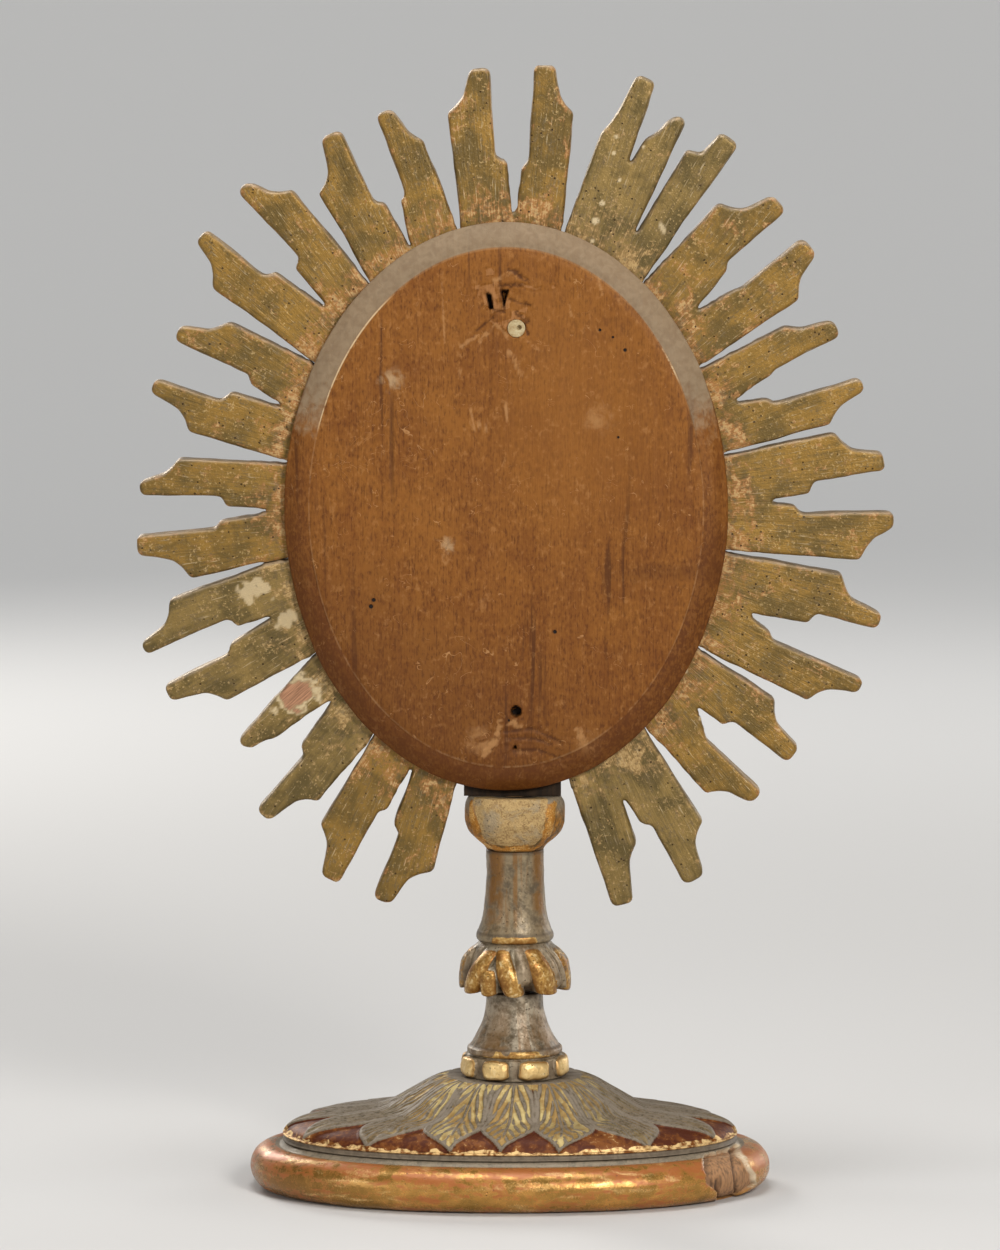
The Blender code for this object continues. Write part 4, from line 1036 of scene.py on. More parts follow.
@dataclass
class Foot:
    """Plinth with its half-round rim, and the dome of incised leaves."""

    rim_a: float = 108.1
    rim_b: float = 64.0
    rim_radius: float = 10.0
    middle: float = -2.2
    power: float = 2.15
    lip_inset: float = 5.0
    lip_height: float = 3.4
    seat_radius: float = 26.6
    steps: int = 800
    leaf_tip: float = 0.985
    spines: tuple[tuple[float, float], ...] = (
        (-180.0, -180.0), (-162.0, -154.0), (-143.0, -128.0), (-121.0, -105.0), (-90.0, -92.5),
        (-59.0, -78.0), (-37.0, -54.0), (-18.0, -27.0), (0.0, 0.0), (18.0, 26.0), (37.0, 52.0),
        (59.0, 75.0), (90.0, 87.5), (121.0, 102.0), (143.0, 126.0), (162.0, 153.0))

    def oval(self, a: Array, b: Array, power: Array, middle: Array) -> tuple[Array, Array]:
        """Rounded ovals, one for each ring.

        Formula: |x/a|^n + |y/b|^n = 1, walked by the angle of the unsquared circle.

        Args:
            a: Half widths, shape (m, 1).
            b: Half depths, shape (m, 1).
            power: n, shape (m, 1).
            middle: Middle's place along X, shape (m, 1).

        Returns:
            x and y, each of shape (m, steps).
        """
        t = turn(self.steps)[None, :]
        c, s = np.cos(t), np.sin(t)
        reach = (np.abs(c) ** power + np.abs(s) ** power) ** (-1 / power)
        return middle + a * reach * c, b * reach * s

    def rings(self, rows: Array) -> Array:
        """Rings from rows of sizes.

        Args:
            rows: Half width, half depth, height, power and middle of each ring.

        Returns:
            Points, shape (m, steps, 3).
        """
        a, b, z, power, middle = (rows[:, i, None] for i in range(5))
        x, y = self.oval(a, b, power, middle)
        return np.stack([x, y, np.broadcast_to(z, x.shape)], -1)

    def plinth(self) -> None:
        """Make the plinth: socket, seat, grey hollow, half-round rim with its chip, underside."""
        _, seat_z = heights("foot_plinth")
        radius = self.rim_radius
        seat = -(7.0 + self.lip_inset - 2.0)
        arc = np.radians(np.linspace(109, -78, 46))
        rim = np.stack([radius * np.cos(arc), radius * (1 + np.sin(arc))], 1)
        hollow = spline([(seat, seat_z), (seat + 3.2, seat_z - 0.02), (-5.2, seat_z - 0.5),
                         (-4.2, 20.1), (rim[0, 0] - 0.4, 19.6), tuple(rim[0])], 18)
        under = spline([tuple(rim[-1]), (rim[-1, 0] - 1.2, 0.15), (rim[-1, 0] - 2.2, 0.0)], 6)
        offsets = np.vstack([hollow[:-1], rim, under[1:]])
        rows = [(self.rim_a + o, self.rim_b + o, z, self.power, self.middle) for o, z in offsets]
        socket = [(BORE, BORE, 4.0, 2.0, 0.0), (BORE, BORE, seat_z, 2.0, 0.0),
                  (self.rim_a + seat - 1.0, self.rim_b + seat - 1.0, seat_z, self.power, self.middle)]
        inward = [(0.6 * self.rim_a, 0.6 * self.rim_b, 0.0, self.power, self.middle)]
        points = self.rings(np.array(socket + rows + inward))
        x, y, z = points[..., 0], points[..., 1], points[..., 2]
        rimward = np.zeros(x.shape)
        rimward[len(socket) + 12:-3] = 1.0
        out = np.stack([x - self.middle, y * 2.0, (z - radius) * 6.0], -1)
        out /= np.linalg.norm(out, axis=-1, keepdims=True)
        rough = value_noise(points, 24.0, 3, 2) * 0.35 + value_noise(points, 6.0, 4, 2) * 0.10
        chip, broken, split = self.chip(points, rimward)
        depth = np.where(rimward > 0, rough - 0.35, 0.0) - 1.9 * chip - 1.8 * split
        points = points + out * depth[..., None] * rimward[..., None]
        points[..., 2] = np.clip(points[..., 2], 0.0, None)
        grey = np.zeros(x.shape)
        grey[len(socket):len(socket) + 20] = 1.0
        obj = skin("foot_plinth_carved", points)
        store(obj, hollow=grey * (1 - chip), bare=chip, broken=broken, split=split)
        # Painted shade on the rim's left end, 0.6 deep.
        RimGilding(painted_end_shade_share=0.6).dress(obj)
        put(obj, Body.STAND, "foot_plinth")

    def chip(self, points: Array, rimward: Array) -> tuple[Array, Array, Array]:
        """Where the rim has lost its gesso on the right.

        Formula: with w noise, d is the smallest of x - l(z), r(z) - x, t(x) - z and z - b, where l,
        r and t are drawn through a few places. Wood is bare where d + w > 0, and a cream edge
        follows d = 0 along the top and the right. A split is a bell of x round a wandering line.

        Args:
            points: The plinth's points, shape (m, n, 3).
            rimward: 1 on the rim, 0 elsewhere.

        Returns:
            The bare share, the gesso's share and the splits' share, each shape (m, n).
        """
        x, y, z = points[..., 0], points[..., 1], points[..., 2]
        warp = value_noise(points, 3.6, 21, 3) * 0.7
        left = np.interp(z, (0.0, 5.0, 9.0, 14.0, 19.0, 22.0), (91.0, 90.5, 87.0, 84.6, 84.4, 86.0))
        right = np.interp(z, (0.0, 5.0, 9.0, 14.0, 19.0, 22.0),
                          (99.0, 109.0, 108.2, 105.8, 102.6, 99.0))
        inside = np.minimum(np.minimum(x - left, right - x), 21.0 - z) + warp
        inside = np.where(y < -2.0, inside, -9.0) * rimward - 9.0 * (1 - rimward)
        bare = rise(-0.15, 0.45, inside)
        sunny = np.maximum(rise(16.5, 18.5, z), rise(97.0, 101.0, x)) * rise(3.0, 5.0, z)
        edge = bell(inside, 0.55) * sunny
        splits = np.maximum(bell(x - 91.9 - 0.5 * warp, 0.65) * rise(12.5, 10.5, z),
                            bell(x - 101.0 + 0.02 * z**1.5 - 0.4 * warp, 0.5))
        crescent = rise(0.5, 0.0, x - left - 3.4 + warp) * rise(6.0, 9.0, z) * 0.75
        return bare, np.clip(edge, 0, 1), np.maximum(splits, crescent * 0.55) * rise(0.2, 0.8, inside)

    def dome(self) -> None:
        """Make the dome: flat underside, lip, red ground, and leaves up to the collar's seat."""
        base, top = heights("foot_dome")
        lip_a, lip_b = self.rim_a - self.lip_inset, self.rim_b - self.lip_inset
        lip_top = base + self.lip_height
        section = spline([(0.985, 0.0), (0.955, 0.10), (0.90, 0.185), (0.80, 0.26), (0.60, 0.345),
                          (0.43, 0.43), (0.27, 0.68), (0.14, 0.89), (0.05, 0.98), (0.0, 1.0)], 94)
        along = section[:, 0]
        slope = np.stack([self.seat_radius + along * (lip_a - self.seat_radius),
                          self.seat_radius + along * (lip_b - self.seat_radius),
                          lip_top + section[:, 1] * (top - lip_top),
                          2 + along * (self.power - 2), along * self.middle], 1)
        flare = spline([(-2.0, 0.0), (0.0, 0.02), (-0.5, 0.9), (-0.95, 1.7), (-0.8, 2.3), (-0.1, 2.7),
                        (0.0, 3.0), (-0.3, 3.25), (-1.0, 3.38)], 22)
        edge = [(lip_a + o, lip_b + o, base + z, self.power, self.middle) for o, z in flare]
        rows = np.vstack([[(BORE, BORE, base, 2.0, 0.0)], edge, slope, [(BORE, BORE, top, 2.0, 0.0)]])
        points = self.rings(rows)
        first = 1 + len(edge)
        leaf, vein, far, relief = self.leaves(points[first:-1], along)
        down = np.gradient(points[first:-1], axis=0)
        side = np.gradient(points[first:-1], axis=1)
        normal = np.cross(side, down)
        normal /= np.linalg.norm(normal, axis=-1, keepdims=True)
        normal *= np.sign(normal[..., 2:3].mean())
        uneven = value_noise(points, 20.0, 5, 2) * 0.25
        points[first:-1] += normal * (relief + uneven[first:-1] - 0.45)[..., None]
        points[..., 2] = np.clip(points[..., 2], base, top)
        lip = np.zeros(points.shape[:2])
        lip[1:first] = np.where(flare[:, 1] > 2.45, 1.0, -1.0)[:, None]
        frayed = value_noise(points[first:-1], 5.0, 35, 3) * 0.016
        lip[first:-1] = rise(-0.006, 0.006, along[:, None] - 0.974 + frayed)
        obj = skin("foot_dome_carved", points, closed=True)
        flat = np.zeros((first, self.steps))
        leaf, vein, far = (np.vstack([flat, share]) for share in (leaf, vein, far))
        store(obj, leaf=leaf, vein=vein, far=far, lip=lip)
        LeafPaint().dress(obj)
        put(obj, Body.STAND, "foot_dome")

    def leaves(self, points: Array, along: Array) -> tuple[Array, Array, Array, Array]:
        """Acanthus leaves laid round the dome.

        Formula: v runs from 0 at the collar to 1 at the tips, and q from -1 to 1 across a leaf,
        as (angle - spine) / (half the way to the next spine). A leaf covers |q| < 1 - ((v - 0.62)
        / 0.38)^1.8 past its middle. In millimetres, with s along the leaf and d out from its
        spine, a vein is a drop |b| < w sqrt(1 - a^2), where b counts rows of d - s tan 15 and a
        runs from -1 to 1 along each drop of a row.

        Args:
            points: The slope's points, shape (m, n, 3).
            along: Share of the way from the seat to the lip, shape (m,).

        Returns:
            leaf, vein and far shares, and the relief in millimetres, each of shape (m, n).
        """
        v = np.clip(along / self.leaf_tip, 0, 1.3)[:, None]
        angle = np.degrees(turn(self.steps))[None, :]
        spines = np.array(self.spines)
        centre = spines[:, :1] + (spines[:, 1:] - spines[:, :1]) * v[:, 0][None, :] ** 0.7
        gap = (angle[None] - centre[..., None] + 180.0) % 360.0 - 180.0
        k = np.abs(gap).argmin(0)
        count = len(spines)
        rows = np.arange(len(along))[:, None]
        offset = np.take_along_axis(gap, k[None], 0)[0]
        other = np.where(offset > 0, (k + 1) % count, (k - 1) % count)
        half = np.abs((centre[other, rows] - centre[k, rows] + 180.0) % 360.0 - 180.0) / 2
        q = offset / half
        metric = np.linalg.norm(np.gradient(points, axis=1), axis=-1) * self.steps / 360.0
        width = half * metric
        length = np.linalg.norm(points[0] - points[-1], axis=-1)[None, :]
        cover = 1 - np.clip((v - 0.62) / 0.38, 0, None) ** 1.8
        inset = (cover - np.abs(q)) * width + value_noise(points, 3.0, 31, 2) * 0.25
        leaf = rise(-0.3, 0.3, inset) * rise(1.03, 1.0, v)
        far = rise(26.0, 58.0, np.abs(points[..., 0] + 6.0) + value_noise(points, 11.0, 34, 2) * 9.0)
        side, run = np.abs(q) * width, v * length
        wander = value_noise(points, 9.0, 32) * 0.22 + k * 0.37
        row = (side - run * (0.46 - 0.36 * far)) / (3.7 - 1.2 * far) + wander
        b = (row % 1.0 - 0.5) * 2
        a = ((run * (1.0 / (9.0 + 17.5 * far)) + np.floor(row) * 0.43) % 1.0 - 0.5) * 2
        drop = 0.50 * np.sqrt(np.clip(1 - a**2, 0, 1)) + 0.16 * far - np.abs(b)
        inner = rise(0.9, 1.7, inset) * rise(0.8, 1.6, side)
        outline = 1.3 * bell(inset - 0.8, 1.35) * rise(0.08, 0.20, v)
        spine = bell(side, 0.75) * rise(0.95, 0.75, v)
        collar = rise(0.07, 0.03, v)
        vein = np.clip(rise(-0.12, 0.14, drop) * inner + outline + spine + collar, 0, 1.2)
        crest = np.sqrt(np.clip(1 - (q * 0.8) ** 2, 0, 1))
        relief = leaf * (0.35 + 0.45 * crest) + 0.50 * vein * leaf
        return leaf, vein, far, relief

    def make(self) -> None:
        """Make both pieces."""
        self.plinth()
        self.dome()


# ------------------------------------------------------------------ stem

@dataclass
class Stem:
    """Collar, lower baluster, leaf knop, upper baluster and capital, and the spindle in them."""

    steps: int = 420
    beads: int = 8
    lobes: tuple[tuple[float, float, float, float, float, float], ...] = (
        (-86.0, -100.0, 16.0, 0.02, 0.92, 0.45), (-32.0, -63.0, 16.5, 0.0, 0.92, 1.0),
        (-31.0, -32.0, 11.5, 0.0, 0.58, 1.0), (-19.0, 0.0, 13.5, 0.0, 0.94, 1.0),
        (6.0, 12.0, 9.5, 0.28, 0.93, 0.05), (23.0, 42.0, 17.0, 0.02, 0.95, 1.0),
        (44.0, 58.0, 5.5, 0.15, 0.94, 0.05), (54.0, 68.0, 5.0, 0.10, 0.94, 0.05),
        (72.0, 78.0, 12.5, 0.04, 0.92, 0.55))

    def shell(self, name: str, outside: Array, bottom: float, top: float) -> bpy.types.Object:
        """Close an outside with a bore.

        Args:
            name: The piece's name.
            outside: Rings of the outside, shape (m, n, 3).
            bottom: The bore's lower end.
            top: The bore's upper end.

        Returns:
            The piece.
        """
        around = turn(self.steps)
        bore = revolve(np.array([(BORE, top), (BORE, bottom)]), around)
        return skin(name, np.concatenate([outside, bore]), closed=True)

    def worked(self, outside: Array, seed: int, depth: float) -> Array:
        """Hand-worked unevenness: points moved along their radius by noise of two sizes.

        Args:
            outside: Rings of points.
            seed: The noise's number.
            depth: How far they move.

        Returns:
            The moved points.
        """
        uneven = value_noise(outside, 9.0, seed, 2) * depth
        uneven += value_noise(outside, 2.6, seed + 1, 2) * depth * 0.3
        radius = np.hypot(outside[..., 0], outside[..., 1])
        moved = outside.copy()
        moved[..., :2] *= ((radius + uneven - depth) / radius)[..., None]
        return moved

    def collar(self) -> None:
        """Make the beaded ring.

        Formula: a bead is 2.9 (1 - (angle / half its width)^4 - (height / half its height)^4)^0.5
        proud of the ring.
        """
        z0, z1 = heights("collar")
        around = turn(self.steps)
        h = np.linspace(0, 1, 44)[:, None]
        ring = np.interp(h, (0, 0.12, 0.5, 0.85, 1.0), (23.4, 23.2, 23.0, 22.4, 21.4))
        pitch = 2 * math.pi / self.beads
        number = np.floor(around / pitch)
        across = (around / pitch - number - 0.5) / (0.40 + 0.035 * np.cos(number * 2.4))
        up = (h - 0.50 - 0.02 * np.sin(number * 1.9)) / 0.46
        pillow = np.clip(1 - across**4 - up**4 - 0.25 * value_noise(
            revolve(np.array([(23.0, z) for z in z0 + h[:, 0] * (z1 - z0)]), around), 4.0, 40, 2), 0, 1)
        bead = np.clip(pillow, 0, 1) ** 0.5
        radius = ring - 0.4 - 0.7 * bell(h - 0.97, 0.03) + 2.8 * bead
        height = np.broadcast_to(z0 + h * (z1 - z0), radius.shape)
        outside = self.worked(revolve(np.stack([radius, height], -1), around), 41, 0.22)
        obj = self.shell("collar_carved", outside, z0, z1)
        gold = rise(0.35, 0.60, bead)
        # Painted shade between the beads, stored as "hollow".
        store(obj, gold=gold, hollow=0.45 * bell(bead - 0.10, 0.16) * rise(0.9, 0.5, h),
              amber=rise(0.90, 0.62, bead) * gold)
        StemPaint(streaks=0.3, gold=(0.76, 0.53, 0.22), soil=0.25).dress(obj)
        put(obj, Body.STAND, "collar")

    def trumpet(self, node: str, knots: Sequence[tuple[float, float]], ring: tuple[float, float],
                seed: int, paint: StemPaint, lit_at: float, lit_width: float) -> None:
        """Make a baluster.

        Formula: a spline of (radius, share of the height), turned, with a gilded ring at the foot.

        Args:
            node: The frame node that it replaces.
            knots: The spline's points, bottom to top.
            ring: Shares of the height where the gilded ring begins and ends.
            seed: Picks the unevenness.
            paint: The finish.
            lit_at: The angle where the ring's gold is painted brightest, as a painted highlight facing
                the light.
            lit_width: How far round that painted highlight reaches, in radians.
        """
        z0, z1 = heights(node)
        around = turn(self.steps)
        profile = spline([(r, z0 + h * (z1 - z0)) for r, h in knots], 90)
        h = ((profile[:, 1] - z0) / (z1 - z0))[:, None]
        outside = self.worked(revolve(profile, around), seed, 0.28)
        obj = self.shell(f"{node}_turned", outside, z0, z1)
        patchy = value_noise(outside, 8.0, seed + 5, 2)
        band = rise(ring[0] - 0.02, ring[0] + 0.01, h) * rise(ring[1] + 0.02, ring[1] - 0.01, h)
        # Painted highlight: the ring is gold mostly round lit_at, facing the light, and in random unworn
        # patches.
        lit = 1.2 * bell(wrapped(around - lit_at), lit_width) - 0.38
        gold = band * rise(-0.10, 0.20, patchy * 0.7 + lit)
        # Painted shade in the groove over the gilded ring and at the top, where the next piece sits.
        hollow = 0.55 * bell(h - ring[1] - 0.02, 0.02) + 0.7 * rise(0.95, 1.0, h)
        store(obj, gold=gold, hollow=hollow * np.ones_like(patchy), amber=gold * rise(0.3, 0.6, patchy))
        paint.dress(obj)
        put(obj, Body.STAND, node)

    def knop(self) -> None:
        """Make the bell of slanting leaves.

        Formula: a bell profile, plus for each leaf sqrt(1 - (d / w)^2), with d the angle from its
        slanting middle line and w its half width, and the rim lifted between the tips.
        """
        z0, z1 = heights("leaf_knop")
        around = turn(self.steps)
        bell_line = spline([(16.5, 0.0), (20.0, 0.005), (22.2, 0.05), (23.0, 0.16), (23.0, 0.34),
                            (22.3, 0.55), (21.0, 0.75), (19.2, 0.90), (17.2, 1.0)], 90)
        h = np.clip(bell_line[:, 1], 0, 1)[:, None]
        lobe = np.zeros((len(bell_line), self.steps))
        gold = np.zeros_like(lobe)
        for top, tip, half, start, end, gilt in self.both_sides():
            middle = np.radians(top + (tip - top) * (1 - h))
            width = np.radians(half) * (0.78 + 0.22 * rise(end, 0.35, h))
            d = wrapped(around[None, :] - middle) / width
            ends = rise(start - 0.05, start + 0.07, h) * rise(end + 0.03, end - 0.10, h)
            value = np.sqrt(np.clip(1 - d**2, 0, 1)) * ends
            gold = np.where(value > lobe, gilt, gold)
            lobe = np.maximum(lobe, value)
        raised = lobe**0.8
        fall = rise(1.05, 0.60, h)
        radius = (bell_line[:, 0, None] - 1.3 + 4.0 * raised * fall
                  - 1.8 * (1 - raised) * rise(0.45, 0.1, h))
        lift = 3.6 * (1 - raised) * rise(0.30, 0.0, h)
        height = z0 + h * (z1 - z0) + lift
        outside = self.worked(revolve(np.stack([radius, height], -1), around), 51, 0.20)
        outside[..., 2] = np.clip(outside[..., 2], z0, z1)
        obj = self.shell("leaf_knop_carved", outside, z0 + 1.0, z1)
        # Painted shade: dark between and below the lobes and in four upright creases, stored as "hollow".
        dark = rise(0.35, 0.0, lobe) * rise(0.42, 0.10, h)
        for degrees in (17.0, 197.0, -77.0, 103.0):
            shade = bell(wrapped(around - math.radians(degrees)), 0.11) * rise(0.75, 0.45, h)
            dark = np.maximum(dark, 0.6 * shade * rise(0.6, 0.3, lobe))
        store(obj, gold=rise(0.30, 0.62, lobe) * gold, hollow=dark,
              amber=rise(0.80, 0.55, lobe) * 0.8)
        StemPaint(streaks=0.35, slope=-1.2, gold=(0.46, 0.255, 0.060),
                  amber=(0.215, 0.088, 0.014), soil=1.1).dress(obj)
        put(obj, Body.STAND, "leaf_knop")

    def both_sides(self) -> list[tuple[float, float, float, float, float, float]]:
        """The leaves of the seen side, and the same again half a turn round."""
        return [(a + half, b + half, *rest) for half in (0.0, 180.0) for a, b, *rest in self.lobes]

    def capital(self) -> None:
        """Make the carved cushion.

        Formula: a turned profile, cut by an upright plane at the back and at the front, with a
        raised rim along the shield |x - 0.05 R| < s(z) on each of these faces.
        """
        z0, z1 = heights("capital")
        around = turn(self.steps)
        profile = spline([(13.4, z0), (14.9, z0 + 2.2), (18.2, z0 + 5.0), (21.2, z0 + 8.4),
                          (23.0, z0 + 12.4), (23.4, z0 + 16.8), (22.9, z0 + 21.0), (21.9, z0 + 23.4),
                          (20.6, z1), (18.5, z1)], 100)
        points = revolve(profile, around)
        x, y, z = points[..., 0], points[..., 1], points[..., 2]
        h = (z - z0) / (z1 - z0)
        reach = np.hypot(x, y)
        flat = np.interp(h, (0.0, 0.2, 0.5, 0.8, 1.0), (13.2, 17.2, 20.0, 20.4, 19.0))
        cut = flat / np.maximum(np.abs(np.cos(around)), 0.2)[None, :]
        radius = -np.log(np.exp(-reach * 1.6) + np.exp(-cut * 1.6)) / 1.6
        left = np.interp(h, (0.0, 0.12, 0.3, 1.0), (-6.0, -12.5, -15.8, -19.6))
        right = np.interp(h, (0.0, 0.10, 0.3, 1.0), (5.0, 9.5, 13.2, 15.4))
        inset = np.minimum(np.minimum(x - left, right - x), (h - 0.10) * 24.0)
        inset += value_noise(points, 5.0, 61, 2) * 0.8
        seen = np.abs(np.cos(around))[None, :] > 0.45
        face = rise(0.0, 1.6, inset) * seen
        rim = bell(inset + 1.7, 2.9) * seen * rise(1.02, 0.90, h)
        groove = bell(inset + 4.2, 1.1) * seen * rise(0.9, 0.75, h)
        radius = radius + 0.9 * rim - 0.7 * groove - 0.25
        points[..., :2] *= (radius / reach)[..., None]
        outside = self.worked(points, 62, 0.35)
        outside[..., 2] = np.clip(outside[..., 2] + value_noise(points, 7.0, 64) * 0.5 * h, z0, z1)
        obj = self.shell("capital_carved", outside, z0, z1)
        # Painted shade at the foot, where the capital sits on the baluster, and in the groove, stored as
        # "hollow".
        store(obj, face=face, rim=rim, hollow=0.8 * rise(0.05, 0.0, h) + 0.5 * groove)
        CushionFace().dress(obj)
        put(obj, Body.STAND, "capital")

    def make(self) -> None:
        """Make every piece of the stem and dress the spindle."""
        self.collar()
        self.trumpet("lower_baluster",
                     [(21.2, 0.0), (21.9, 0.03), (21.8, 0.085), (20.9, 0.12), (20.2, 0.15),
                      (18.1, 0.28), (15.6, 0.46), (13.9, 0.64), (13.1, 0.82), (13.0, 1.0)],
                     (0.0, 0.11), 44, StemPaint(grey=(0.42, 0.35, 0.25), streaks=0.8, slope=-0.25,
                                             fade=(96.0, 66.0)), 0.15, 1.0)
        self.knop()
        self.trumpet("upper_baluster",
                     [(17.0, 0.0), (17.7, 0.02), (17.9, 0.06), (17.3, 0.10), (16.7, 0.13),
                      (15.2, 0.24), (14.1, 0.40), (13.5, 0.60), (13.3, 0.80), (13.4, 1.0)],
                     (0.0, 0.07), 47, StemPaint(grey=(0.270, 0.205, 0.118), ochre=(0.205, 0.085, 0.009),
                                             fade=(116.0, 130.0)), -0.12, 0.55)
        self.capital()
        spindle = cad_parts["stem_spindle"]
        PlainWood("spindle_wood").dress(spindle)


# ------------------------------------------------------------------ rays

@dataclass
class Rays:
    """The fifteen carved groups of rays, and the block over the capital."""

    voxel: float = 0.8
    rounding: int = 10
    old: RayGilding = RayGilding(leaf=(0.280, 0.158, 0.033), shade=(0.135, 0.086, 0.024))
    green: RayGilding = RayGilding(leaf=(0.255, 0.168, 0.054), shade=(0.115, 0.081, 0.028),
                                   copper=(0.34, 0.205, 0.080), metal=0.45)

    def merged(self, node: str) -> bpy.types.Mesh:
        """Copy a frame node's mesh with its loose triangles merged.

        Args:
            node: The node's name.

        Returns:
            The copy.
        """
        bm = bmesh.new()
        bm.from_mesh(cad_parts[node].data)
        bmesh.ops.remove_doubles(bm, verts=bm.verts, dist=1e-6)
        mesh = bpy.data.meshes.new(f"{node}_carved")
        bm.to_mesh(mesh)
        bm.free()
        return mesh

    def evenly(self, node: str) -> bpy.types.Object:
        """Make the node's shape an even mesh of small squares.

        Args:
            node: The node's name.

        Returns:
            The piece, with no finish yet.
        """
        obj = bpy.data.objects.new(f"{node}_carved", self.merged(node))
        bpy.context.scene.collection.objects.link(obj)
        even = obj.modifiers.new("even", "REMESH")
        even.mode = "VOXEL"
        even.voxel_size = self.voxel * MM
        bpy.context.view_layer.update()
        graph = bpy.context.evaluated_depsgraph_get()
        old = obj.data
        obj.data = bpy.data.meshes.new_from_object(obj.evaluated_get(graph))
        obj.data.name = f"{node}_carved"
        obj.modifiers.clear()
        bpy.data.meshes.remove(old)
        obj.data.materials.clear()
        return obj

    def rounded(self, points: Array, edges: Array) -> Array:
        """Round the edges: each round moves a point 0.55 of the way to its neighbours' mean.

        Args:
            points: The mesh's points.
            edges: Each edge's two points.

        Returns:
            The moved points.
        """
        count = np.bincount(edges.ravel(), minlength=len(points))[:, None]
        first, second = edges[:, 0], edges[:, 1]
        for _ in range(self.rounding):
            total = np.stack([np.bincount(first, points[second, k], len(points))
                              + np.bincount(second, points[first, k], len(points))
                              for k in range(3)], 1)
            points = points + 0.55 * (total / count - points)
        return points

    def carve(self, node: str, seed: int, finish: RayGilding) -> None:
        """Make one group: rounded edges, knife facets along each ray, nicks and grain.

        Formula: the height of a point moves by noise of (95 angle, 0.045 radius), which is long
        and thin along the rays, plus noise of 13 and 4 mm, less nicks where the edge is convex.

        Args:
            node: The frame node that it replaces.
            seed: Picks the unevenness.
            finish: The gilding.
        """
        obj = self.evenly(node)
        mesh = obj.data
        before = read(mesh.vertices, "co", np.float32, 3).astype(float) / MM
        after = self.rounded(before, read(mesh.edges, "vertices", np.int32, 2))
        move_to(mesh, after)
        normals = read(mesh.vertex_normals, "vector", np.float32, 3).astype(float)
        convex = ((before - after) * normals).sum(1)
        across, up = after[:, 0] - HEAD_X, after[:, 2] - HEAD_Z
        radius, bearing = np.hypot(across, up), np.arctan2(across, up)
        spread = np.hypot(across / BOARD_A, up / BOARD_B)
        polar = np.stack([bearing * 95.0, radius * 0.045, np.full(len(after), seed * 7.0)], 1)
        facets = value_noise(polar, 3.2, seed, 2)
        grain = value_noise(polar * np.array([2.4, 1.0, 1.0]), 1.0, seed + 3, 2)
        roots = rise(1.45, 1.12, spread)
        edge = rise(0.35, 0.9, convex)
        nick = rise(0.25, 0.75, value_noise(after, 3.4, seed + 7, 2)) * edge
        move = 0.30 * facets * (0.5 + roots) + 0.22 * grain * roots - 0.9 * nick
        move += 0.35 * value_noise(after, 13.0, seed + 9, 2) + 0.10 * value_noise(after, 4.0, seed + 11)
        move += 0.25
        hidden = rise(1.05, 1.01, spread)
        move = np.minimum(move, 0.85 * (1 - hidden))
        points = after + normals * move[:, None]
        low, high = box_mm(node)
        points = np.clip(points, low, high)
        move_to(mesh, points)
        mesh.shade_smooth()
        bare, broken = self.damage(points)
        # Painted highlight mask: convex edges that face upwards, where light from above falls.
        upward = rise(0.25, 0.75, normals[:, 2]) * rise(0.0, 0.35, convex + 0.2)
        store(obj, worn=rise(0.05, 0.65, convex), upward=upward, bare=bare, broken=broken)
        finish.dress(obj, float(seed))
        put(obj, Body.HEAD, node)

    def damage(self, points: Array) -> tuple[Array, Array]:
        """Bare wood and broken gesso.

        Formula: around each spot, 1 where distance / size + noise < 1.

        Args:
            points: The group's points.

        Returns:
            The bare and the broken shares at each point.
        """
        seen = points[:, 1] < -4.0
        flat = np.stack([points[:, 0], points[:, 2]], 1)
        ragged = value_noise(points, 3.5, 77, 3) * 0.45

        def spot(x: float, z: float, size: float, squeeze: float = 1.0, tilt: float = 0.0) -> Array:
            """Distance from a spot, longer along a tilted axis.

            Args:
                x: The spot's place.
                z: The same, upwards.
                size: Its size.
                squeeze: Under 1 for a spot longer along its axis.
                tilt: Tilt of that axis in degrees.

            Returns:
                Distance in sizes, ragged.
            """
            c, s = math.cos(math.radians(tilt)), math.sin(math.radians(tilt))
            dx, dz = flat[:, 0] - x, flat[:, 1] - z
            return np.hypot((dx * c + dz * s) * squeeze, dz * c - dx * s) / size + ragged

        stump = spot(-98.5, 224.5, 6.6, 0.75, 40.0)
        bare = rise(1.0, 0.85, stump) * seen
        broken = bell(stump - 1.08, 0.13) * seen
        patch = rise(1.0, 0.80, spot(-117.5, 271.5, 5.6, 0.62, 8.0))
        pink = rise(1.0, 0.7, spot(-103.0, 258.0, 3.4, 0.5, 35.0))
        chips = [(45.0, 474.5, 1.5), (44.0, 467.0, 1.0), (39.0, 445.0, 1.1), (36.0, 437.0, 1.5),
                 (34.5, 428.0, 1.2), (46.5, 455.0, 0.8), (57.0, 470.0, 0.9), (84.0, 214.0, 1.6),
                 (-140.0, 246.0, 1.5), (76.0, 236.0, 1.6)]
        white = sum(rise(1.0, 0.6, spot(x, z, size)) for x, z, size in chips)
        stroke = rise(1.0, 0.6, spot(65.5, 433.9, 3.6, 2.6, 25.0))
        other = np.maximum(np.maximum(patch * 0.75, pink * 0.7), np.maximum(white, stroke * 0.8))
        return bare, np.clip(np.maximum(broken, other * seen), 0, 1)

    def make(self) -> None:
        """Make every group, and dress the block that's hidden between them near black, as painted shade.
        """
        greenish = {"ray_trio_02", "ray_pair_08", "ray_pair_10", "ray_pair_11"}
        for seed, node in enumerate(sorted(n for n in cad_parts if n.startswith("ray_")), 1):
            self.carve(node, seed * 13, self.green if node in greenish else self.old)
